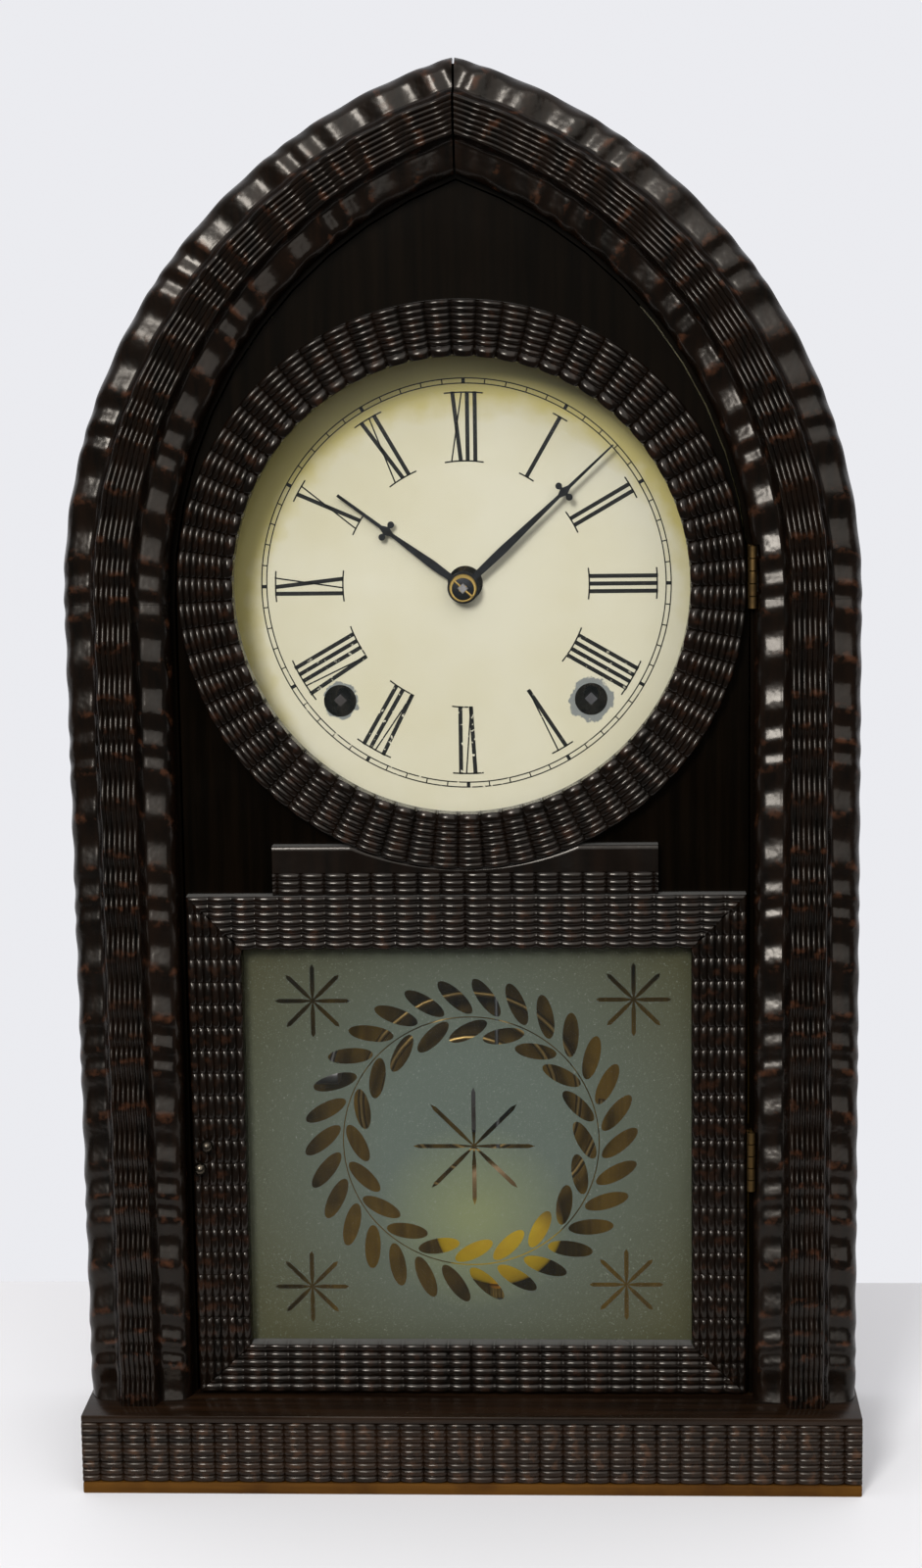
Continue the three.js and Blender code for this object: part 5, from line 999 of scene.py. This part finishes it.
def make_ring():
    """The round bezel: a bead at its inner edge, then reeds, all rippled."""
    thickness = RING_HIGH[1] - RING_LOW[1]
    width = RING_OUTER_RADIUS - RING_INNER_RADIUS
    reed_width = width - RING_BEAD_WIDTH
    bead_columns = np.linspace(0.0, RING_BEAD_WIDTH, BEAD_COLUMNS, endpoint=False)
    reed_columns = np.linspace(0.0, reed_width, RING_REEDS * REED_COLUMNS + 1)
    bead = thickness - REED_DEPTH * (1.0 - np.sin(np.pi * bead_columns / RING_BEAD_WIDTH))
    height = np.concatenate([bead, reed_profile(reed_columns, reed_width, thickness, RING_REEDS)])
    radius = RING_INNER_RADIUS + np.concatenate([bead_columns, RING_BEAD_WIDTH + reed_columns])
    angle = np.linspace(0.0, TURN, RING_RIPPLES * RIPPLE_ROWS, endpoint=False)[:, None]
    wave = ripple(RING_RIPPLES * angle / TURN, RING_RIPPLE_POWER)
    shifted = radius - RIPPLE_EDGE * (wave - 1.0) * (RING_OUTER_RADIUS - radius) / width
    edges = np.array([RING_OUTER_RADIUS, RING_INNER_RADIUS]) * np.ones_like(angle)

    def place(radii, raised):
        x, z = radii * np.cos(angle), RING_CENTRE_Z + radii * np.sin(angle)
        return np.stack([x, RING_HIGH[1] - raised, z], axis=-1)

    front = place(shifted, height + RING_RIPPLE_HEIGHT * (wave - 1.0))
    rippled("bezel_ring", front, place(edges, np.zeros_like(edges)), wave, closed=True)


def make_plinth():
    """The stepped strip under the bezel: reeds below, a plain band above that stops at the bezel."""
    (left, front, bottom), (right, back, high) = corners("bezel_plinth")
    thickness = back - front
    along = np.linspace(left, right, int((right - left) / RIPPLE_PITCH * RIPPLE_ROWS) + 1)[:, None]
    ring_edge = RING_CENTRE_Z - np.sqrt((RING_OUTER_RADIUS + PLINTH_RING_GAP) ** 2 - along ** 2)
    top = np.minimum(high, ring_edge) - bottom
    reeds = np.linspace(0.0, PLINTH_REED_BAND, PLINTH_REEDS * REED_COLUMNS + 1)
    plain_width = top - PLINTH_CHAMFER - PLINTH_REED_BAND
    plain = PLINTH_REED_BAND + np.linspace(0.0, 1.0, STEP_COLUMNS) * plain_width
    reeded = reed_profile(reeds, PLINTH_REED_BAND, thickness, PLINTH_REEDS)
    reeded = reeded + RIPPLE_HEIGHT * (ripple(along / RIPPLE_PITCH) - 1.0)
    level = np.full_like(plain, thickness - REED_DEPTH)
    eased = np.full_like(top, thickness - REED_DEPTH - PLINTH_CHAMFER)
    foot = np.zeros_like(top)
    up = np.concatenate([reeds * np.ones_like(along), plain, top, top, foot], axis=1)
    height = np.concatenate([reeded, level, eased, foot, foot], axis=1)
    points = flat((0.0, back, bottom), UP, RIGHT)(up, height, along * np.ones_like(up))
    stand_in("bezel_plinth", Skin().loft(points), sharp=RIPPLE_SHARP_ANGLE)


# Hinges and knobs
def make_hinges():
    axis = (*HINGE_AXIS, 0.0)
    rim = HINGE_KNUCKLE_RADIUS
    eased = rim - 2 * HINGE_GAP
    leaves = (("door", HINGE_DOOR_LEAF_X, 0), ("case", HINGE_CASE_LEAF_X, 1))
    for word in HINGES:
        for owner, (left, right), first in leaves:
            node = f"hinge_{word}_{owner}_leaf"
            (_, _, bottom), (_, back, top) = corners(node)
            pitch = (top - bottom) / HINGE_KNUCKLES
            skin = Skin().slab((left, HINGE_LEAF_FRONT_Y, bottom), (right, back, top))
            for i in range(first, HINGE_KNUCKLES, len(leaves)):
                low = bottom + i * pitch + HINGE_GAP
                high = low + pitch - 2 * HINGE_GAP
                profile = [(eased, low), (rim, low + HINGE_GAP), (rim, high - HINGE_GAP), (eased, high)]
                skin.turned(profile, axis, "Z", SMALL_SIDES)
                skin.slab((left, HINGE_AXIS[1], low), (right, HINGE_LEAF_FRONT_Y, high))
            if owner == "case":
                skin.turned([(HINGE_PIN_RADIUS, bottom), (HINGE_PIN_RADIUS, top)], axis, "Z", TUBE_SIDES)
            stand_in(node, skin)


def knob(centre, front, back):
    """A turned ball on a stem, along Y; KNOB_ARC says where the ball starts and ends, in half turns."""
    middle = front + KNOB_RADIUS
    profile = []
    for angle in math.pi * np.linspace(*KNOB_ARC, KNOB_STEPS):
        profile.append((KNOB_RADIUS * math.sin(angle), middle - KNOB_RADIUS * math.cos(angle)))
    profile += [(KNOB_STEM_RADIUS, middle + KNOB_RADIUS), (KNOB_STEM_RADIUS, back)]
    return Skin().turned(profile, at_depth(centre, 0.0), "Y", SMALL_SIDES)


def make_latch():
    low, high = corners("door_latch")
    latch = knob(LATCH_CENTRE, low[1], high[1])
    latch.slab((low[0], high[1] - LATCH_PLATE_THICKNESS, low[2]), high, LATCH_PLATE_EDGE)
    stand_in("door_latch", latch, KNOB)
    low, high = corners("door_pull")
    centre = ((low[0] + high[0]) / 2, (low[2] + high[2]) / 2)
    stand_in("door_pull", knob(centre, low[1], high[1]), KNOB)


# Dial and its print
def make_dial():
    (left, front, bottom), (right, back, top) = DIAL_LOW, DIAL_HIGH
    outline = [
        (left, bottom),
        (right, bottom),
        (right, top - DIAL_CORNER),
        (right - DIAL_CORNER, top),
        (left + DIAL_CORNER, top),
        (left, top - DIAL_CORNER),
    ]
    holes = [circle(DIAL_HUB_CENTRE, DIAL_HUB_HOLE)]
    holes.extend(circle(centre, WINDING_HOLE) for centre in WINDING_CENTRES)
    stand_in("dial_plate", filled([outline, *holes], front, back))


def printed(skin, patch):
    """Adds a thin painted patch to the print."""
    count = len(patch)
    front = [at_depth(point, DIAL_FRONT_Y - PRINT_THICKNESS) for point in patch]
    back = [at_depth(point, DIAL_FRONT_Y) for point in patch]
    sides = [(i, (i + 1) % count, count + (i + 1) % count, count + i) for i in range(count)]
    skin.add(front + back, [tuple(range(count)), tuple(range(2 * count - 1, count - 1, -1)), *sides])


def on_dial(angle, tangent, radius):
    """A point on the print, from a clockwise angle, a distance to the right of it and a radius."""
    return placed(PRINT_CENTRE, -angle, tangent, radius)


def stroke(skin, angle, start, end, width):
    """A straight painted stroke between two (tangent, radius) places, cut square to the radius."""
    half = width / 2
    ends = ((start, -half), (start, half), (end, half), (end, -half))
    printed(skin, [on_dial(angle, place[0] + aside, place[1]) for place, aside in ends])


def arc_band(skin, start, end, radius, width, steps):
    """A painted band along a circle between two clockwise angles."""
    outer = radius + width
    for i in range(steps):
        low, high = (start + (end - start) * step / steps for step in (i, i + 1))
        printed(skin, [on_dial(angle, 0.0, reach)
                       for angle, reach in ((low, radius), (high, radius), (high, outer), (low, outer))])


def letter_width(letter):
    return NUMERAL_THICK if letter == "I" else NUMERAL_WIDE


def numeral(skin, text, angle):
    between = NUMERAL_I_PITCH - NUMERAL_THICK
    gaps = [between if a == b == "I" else NUMERAL_GAP for a, b in zip(text, text[1:])]
    width = sum(letter_width(letter) for letter in text) + sum(gaps)
    left = -width / 2
    feet = []
    for letter, gap in zip(text, [*gaps, 0.0]):
        right = left + letter_width(letter)
        middle = (left + right) / 2
        thick_left, thick_right = left + NUMERAL_THICK / 2, right - NUMERAL_THICK / 2
        thin_left, thin_right = left + NUMERAL_THIN / 2, right - NUMERAL_THIN / 2
        strokes = {
            "I": [(middle, middle, NUMERAL_THICK)],
            "V": [(middle, thick_left, NUMERAL_THICK), (middle, thin_right, NUMERAL_THIN)],
            "X": [(thick_right, thick_left, NUMERAL_THICK), (thin_left, thin_right, NUMERAL_THIN)],
        }[letter]
        for foot, head, weight in strokes:
            stroke(skin, angle, (foot, NUMERAL_INNER), (head, NUMERAL_OUTER), weight)
        if letter != "V":
            feet.extend((left, right))
        left = right + gap
    serifs = [(NUMERAL_OUTER - NUMERAL_THIN, -width / 2, width / 2)]
    if feet:
        serifs.append((NUMERAL_INNER, min(feet), max(feet)))
    for radius, first, last in serifs:
        start = angle + (first - NUMERAL_SERIF) / radius
        end = angle + (last + NUMERAL_SERIF) / radius
        arc_band(skin, start, end, radius, NUMERAL_THIN, SERIF_STEPS)


def make_print():
    numerals = Skin()
    for i, text in enumerate(NUMERALS):
        numeral(numerals, text, TURN * i / len(NUMERALS))
    piece("dial_numerals", numerals, PRINT, "case")
    track = Skin()
    for radius in (TRACK_INNER, TRACK_OUTER - TRACK_LINE):
        arc_band(track, 0.0, TURN, radius, TRACK_LINE, TRACK_STEPS)
    for minute in range(MINUTES):
        width = TRACK_LINE if minute % MINUTES_PER_NUMERAL else TRACK_BLOCK
        stroke(track, TURN * minute / MINUTES, (0.0, TRACK_INNER), (0.0, TRACK_OUTER), width)
    piece("dial_minute_track", track, PRINT, "case")


# Hands
def hand_outline(facts):
    """Outline of a hand that points up: an eye, a blade with a belly, two round lobes and a long point."""
    cross = facts["cross"]
    shares = np.linspace(0.0, 1.0, HAND_STEPS + 1)
    quarter = math.pi / 2
    eye_end = math.acos(HAND_ROOT / HAND_EYE_RADIUS)
    turns = -quarter + (eye_end + quarter) * shares[1:]
    right = [placed((0.0, 0.0), turn, HAND_EYE_RADIUS, 0.0) for turn in turns]
    root = right[-1][1]
    for share in shares[1:]:
        if share < HAND_BELLY_SHARE:
            half = HAND_ROOT + (HAND_BELLY - HAND_ROOT) * math.sin(quarter * share / HAND_BELLY_SHARE)
        else:
            narrowed = (share - HAND_BELLY_SHARE) / (1.0 - HAND_BELLY_SHARE)
            half = HAND_BELLY + (HAND_NECK - HAND_BELLY) * narrowed
        right.append((half, root + (cross - HAND_FLARE - root) * share))
    right.append((HAND_LOBE_PLACE / 2, cross - HAND_WAIST))
    widest = math.radians(HAND_LOBE_OPEN)
    for angle in widest * (2.0 * shares - 1.0):
        right.append(placed((HAND_LOBE_PLACE, cross), angle, HAND_LOBE_RADIUS, 0.0))
    right.append((HAND_LOBE_PLACE / 2, cross + HAND_WAIST))
    right.append((HAND_NECK, cross + HAND_FLARE))
    right.append((facts["tip"], facts["length"]))
    return [(0.0, -HAND_EYE_RADIUS), *right, *((-x, z) for x, z in reversed(right))]


def make_hand(node, facts):
    (_, front, _), (_, back, _) = corners(node)
    turn = -math.radians(facts["angle"])
    outline = [placed(HUB, turn, x, z) for x, z in hand_outline(facts)]
    stand_in(node, filled([outline], front, back))


def make_hub():
    """Brass washer with a dark disc on it, and the arbor's squared end with a taper pin through it."""
    front = corners("hand_collet")[0][1]

    def turned(profile, drop):
        centre = (HUB[0], front, HUB[1] - drop)
        return Skin().turned(profile, centre, "Y")

    stand_in("hand_collet", turned(COLLET_PROFILE, 0.0))
    disc = turned(HUB_DISC_PROFILE, HUB_DISC_DROP)
    piece("hub_disc", disc, BLACK_STEEL, "minute_work", slot="black_steel")
    lean = math.radians(ARBOR_LEAN)
    rings = []
    for share, depth in ARBOR_RINGS:
        half = share * ARBOR_HALF
        square = ((half, half), (-half, half), (-half, -half), (half, -half))
        rings.append([at_depth(placed(HUB, lean, x, z), front + depth) for x, z in square])
    piece("arbor_square", Skin().loft(rings), STEEL, "minute_work", slot="steel")
    ends = [at_depth(placed(HUB, -lean, x, 0.0), front - PIN_FORWARD) for x in (-PIN_REACH, PIN_REACH)]
    piece("hand_taper_pin", Skin().tube(ends, PIN_RADII), BRASS, "minute_work", slot="brass")


# Tablet
def leaf_outline(angle, facts, outward):
    """An oval leaf beside the wreath's stem, leaning on round it; angle is its place on the stem."""
    base = placed(WREATH_CENTRE, angle, WREATH_RADIUS + outward * facts["gap"], 0.0)
    heading = angle + math.pi / 2 - outward * math.radians(facts["lean"])
    half_length, half_width = facts["length"] / 2, facts["width"] / 2
    outline = []
    for i in range(2 * LEAF_STEPS):
        turn = math.pi * i / LEAF_STEPS
        along = half_length * (1.0 - math.cos(turn))
        outline.append(placed(base, heading, along, half_width * math.sin(turn)))
    return outline


def star_outline(centre, reach):
    """A star of cut rays that widen from its middle, then keep their width and end in points."""
    points = []
    for ray in range(STAR_RAYS):
        angle = TURN * ray / STAR_RAYS
        points.append(placed(centre, angle - math.pi / STAR_RAYS, STAR_HALF_WIDTH, 0.0))
        for share, aside in STAR_RAY:
            points.append(placed(centre, angle, share * reach, aside * STAR_HALF_WIDTH))
    return points


def make_tablet():
    (left, _, low), (right, glass_back, high) = corners("tablet_glass")
    left, right, low, high = left + FROST_EDGE, right - FROST_EDGE, low + FROST_EDGE, high - FROST_EDGE
    outlines = [[(left, low), (right, low), (right, high), (left, high)]]
    outlines.extend(circle(WREATH_CENTRE, WREATH_RADIUS + aside, STEM_SIDES)
                    for aside in (WREATH_STEM / 2, -WREATH_STEM / 2))
    for facts, outward in ((OUTER_LEAVES, 1), (INNER_LEAVES, -1)):
        for i in range(facts["count"]):
            angle = math.radians(facts["start"]) + TURN * i / facts["count"]
            outlines.append(leaf_outline(angle, facts, outward))
    outlines.append(star_outline(STAR_CENTRE, STAR_REACH))
    outlines.extend(star_outline(centre, CORNER_STAR_REACH) for centre in CORNER_STARS)
    front = glass_back + FROST_GAP
    layer = filled(outlines, front, front + FROST_THICKNESS)
    etched = piece("tablet_frost", layer, FROST, "door", slot="frosted_glass")
    etched.visible_shadow = False


# Pendulum, gong, hammer and springs
def make_pendulum():
    x, y = PENDULUM
    aside, deep = SUSPENSION_HALF_THICKNESS, SUSPENSION_HALF_WIDTH
    rod = Skin().slab((x - aside, y - deep, SUSPENSION_Z[0]), (x + aside, y + deep, SUSPENSION_Z[1]))
    stand_in("pendulum_rod", rod.tube([(x, y, z) for z in ROD_Z], ROD_RADIUS))
    profile = []
    for turn in np.linspace(0.0, math.pi, BOB_STEPS + 1)[1:-1]:
        profile.append((BOB_RADIUS * math.sin(turn) ** BOB_FULLNESS, -BOB_HALF_THICKNESS * math.cos(turn)))
    stand_in("pendulum_bob", Skin().turned(profile, (x, y, BOB_Z), "Y", FINE_SIDES), BOB_BRASS)
    ring = []
    for i in range(2 * NUT_KNURLS):
        radius = NUT_RADIUS if i % 2 else NUT_RADIUS - NUT_KNURL_DEPTH
        ring.append(placed(PENDULUM, math.pi * i / NUT_KNURLS, radius, 0.0))
    heights = [corner[2] for corner in corners("rating_nut")]
    nut = Skin().loft([[(*point, z) for point in ring] for z in heights])
    stand_in("rating_nut", nut, sharp=KNURL_SHARP_ANGLE)


def make_gong():
    path = [at_depth(placed(GONG_CENTRE, angle, radius, 0.0), GONG_Y)
            for angle, radius in spiral(GONG_RADII, GONG_TURNS)]
    stand_in("gong_coil", Skin().tube(path, GONG_WIRE_RADIUS), STRAW_STEEL)
    x, z = GONG_CENTRE
    half = GONG_CLAMP_HALF
    stand = Skin().turned(GONG_STAND_PROFILE, (x, 0.0, z), "Y", FINE_SIDES)
    reach = x + GONG_RADII[0] + GONG_WIRE_RADIUS
    stand.slab((x, GONG_Y - half, z - half), (reach, GONG_Y + half, z + half), GONG_CLAMP_EDGE)
    stand_in("gong_stand", stand)


def make_hammer():
    (head_end, front, _), (_, back, _) = corners("strike_hammer")
    x, z = HAMMER_ARBOR
    pivot = (x, GONG_Y, z)
    head = (head_end, GONG_Y, HAMMER_HEAD_Z)
    skin = Skin().tube([(x, front, z), (x, back, z)], HAMMER_WIRE_RADIUS)
    collar = [(x, GONG_Y + depth, z) for depth in (-HAMMER_COLLAR_HALF, HAMMER_COLLAR_HALF)]
    skin.tube(collar, HAMMER_COLLAR_RADIUS)
    skin.tube([pivot, (head_end + HAMMER_HEAD_MIDDLE, GONG_Y, HAMMER_HEAD_Z)], HAMMER_WIRE_RADIUS)
    skin.tube([pivot, at_depth(HAMMER_TAIL, GONG_Y)], HAMMER_WIRE_RADIUS)
    stand_in("strike_hammer", skin.turned(HAMMER_HEAD_PROFILE, head, "X"))


def make_mainsprings():
    for (x, z), word, sense in zip(WINDING_CENTRES, ("time", "strike"), (1, -1)):
        node = f"{word}_mainspring"
        (_, front, _), (_, back, _) = corners(node)
        rings = []
        for angle, radius in spiral(SPRING_RADII, SPRING_TURNS):
            inner, outer = radius - SPRING_STRIP / 2, radius + SPRING_STRIP / 2
            across, up = sense * math.cos(angle), math.sin(angle)
            section = ((inner, front), (outer, front), (outer, back), (inner, back))
            rings.append([(x + reach * across, y, z + reach * up) for reach, y in section])
        stand_in(node, Skin().loft(rings))


# Camera, floor and light
def make_camera():
    yaw, pitch, roll = (math.radians(angle) for angle in (CAMERA_YAW, CAMERA_PITCH, CAMERA_ROLL))
    forward = Vector((math.sin(yaw) * math.cos(pitch), math.cos(yaw) * math.cos(pitch), -math.sin(pitch)))
    level = Vector((math.cos(yaw), -math.sin(yaw), 0.0))
    upright = level.cross(forward)
    right = math.cos(roll) * level + math.sin(roll) * upright
    up = math.cos(roll) * upright - math.sin(roll) * level
    data = bpy.data.cameras.new("camera")
    data.sensor_width = SENSOR
    data.lens = FOCAL_PIXELS / IMAGE_HEIGHT * SENSOR
    data.clip_start = MM * CLIP_START
    camera = new_object("camera", data)
    turn = Matrix((right, up, -forward)).transposed().to_4x4()
    camera.matrix_world = Matrix.Translation(MM * Vector(CAMERA_PLACE)) @ turn
    bpy.context.scene.camera = camera


def make_floor():
    left, right = -FLOOR_HALF_WIDTH, FLOOR_HALF_WIDTH
    front, back = FLOOR_FRONT_Y, FLOOR_BACK_Y
    outline = ((left, front), (right, front), (right, back), (left, back))
    mesh = bpy.data.meshes.new("floor")
    mesh.from_pydata([(MM * x, MM * y, 0.0) for x, y in outline], [], [(0, 1, 2, 3)])
    mesh.materials.append(FLOOR)
    floor = new_object("floor", mesh)


def make_lamp(name, place, size, power):
    data = bpy.data.lights.new(name, "AREA")
    data.shape = "RECTANGLE"
    data.size, data.size_y = (MM * side for side in size)
    data.energy = power
    lamp = new_object(name, data)
    lamp.visible_camera = False
    lamp.location = MM * Vector(place)
    lamp.rotation_euler = (Vector(LIGHT_TARGET) - Vector(place)).to_track_quat("-Z", "Y").to_euler()


def make_light():
    """A pale ceiling and a pale background in a room that is dim in front, and two soft lamps there."""
    world = bpy.data.worlds.new("studio")
    world.use_nodes = True
    sky = Nodes(world.node_tree)
    direction = sky.node("ShaderNodeTexCoord")["Generated"]
    ceiling = sky.remap(sky.along(direction, "Z"), *CEILING_FROM, *CEILING_STRENGTH)
    behind = sky.remap(sky.along(direction, "Y"), *BEHIND_FROM, 0.0, BACKGROUND)
    path = sky.node("ShaderNodeLightPath")
    glimpsed = sky.times(path["Is Glossy Ray"], GLOSSY_SHARE)
    seen = sky.larger(sky.larger(path["Is Camera Ray"], path["Is Transmission Ray"]), glimpsed)
    background = sky.tree.nodes["Background"].inputs
    sky.feed(background["Color"], SKY_COLOUR)
    sky.feed(background["Strength"], sky.larger(sky.larger(ceiling, behind), sky.times(seen, BACKGROUND)))
    bpy.context.scene.world = world
    for name, facts in LAMPS.items():
        make_lamp(name, **facts)


make_camera()
make_floor()
make_light()
make_base()
make_case()
make_mouldings()
make_ring()
make_plinth()
make_tablet_frame()
make_hinges()
make_latch()
make_dial()
make_print()
make_hand("hour_hand", HOUR_HAND)
make_hand("minute_hand", MINUTE_HAND)
make_hub()
make_tablet()
make_pendulum()
make_gong()
make_hammer()
make_mainsprings()

bpy.context.scene.view_settings.view_transform = "Standard"
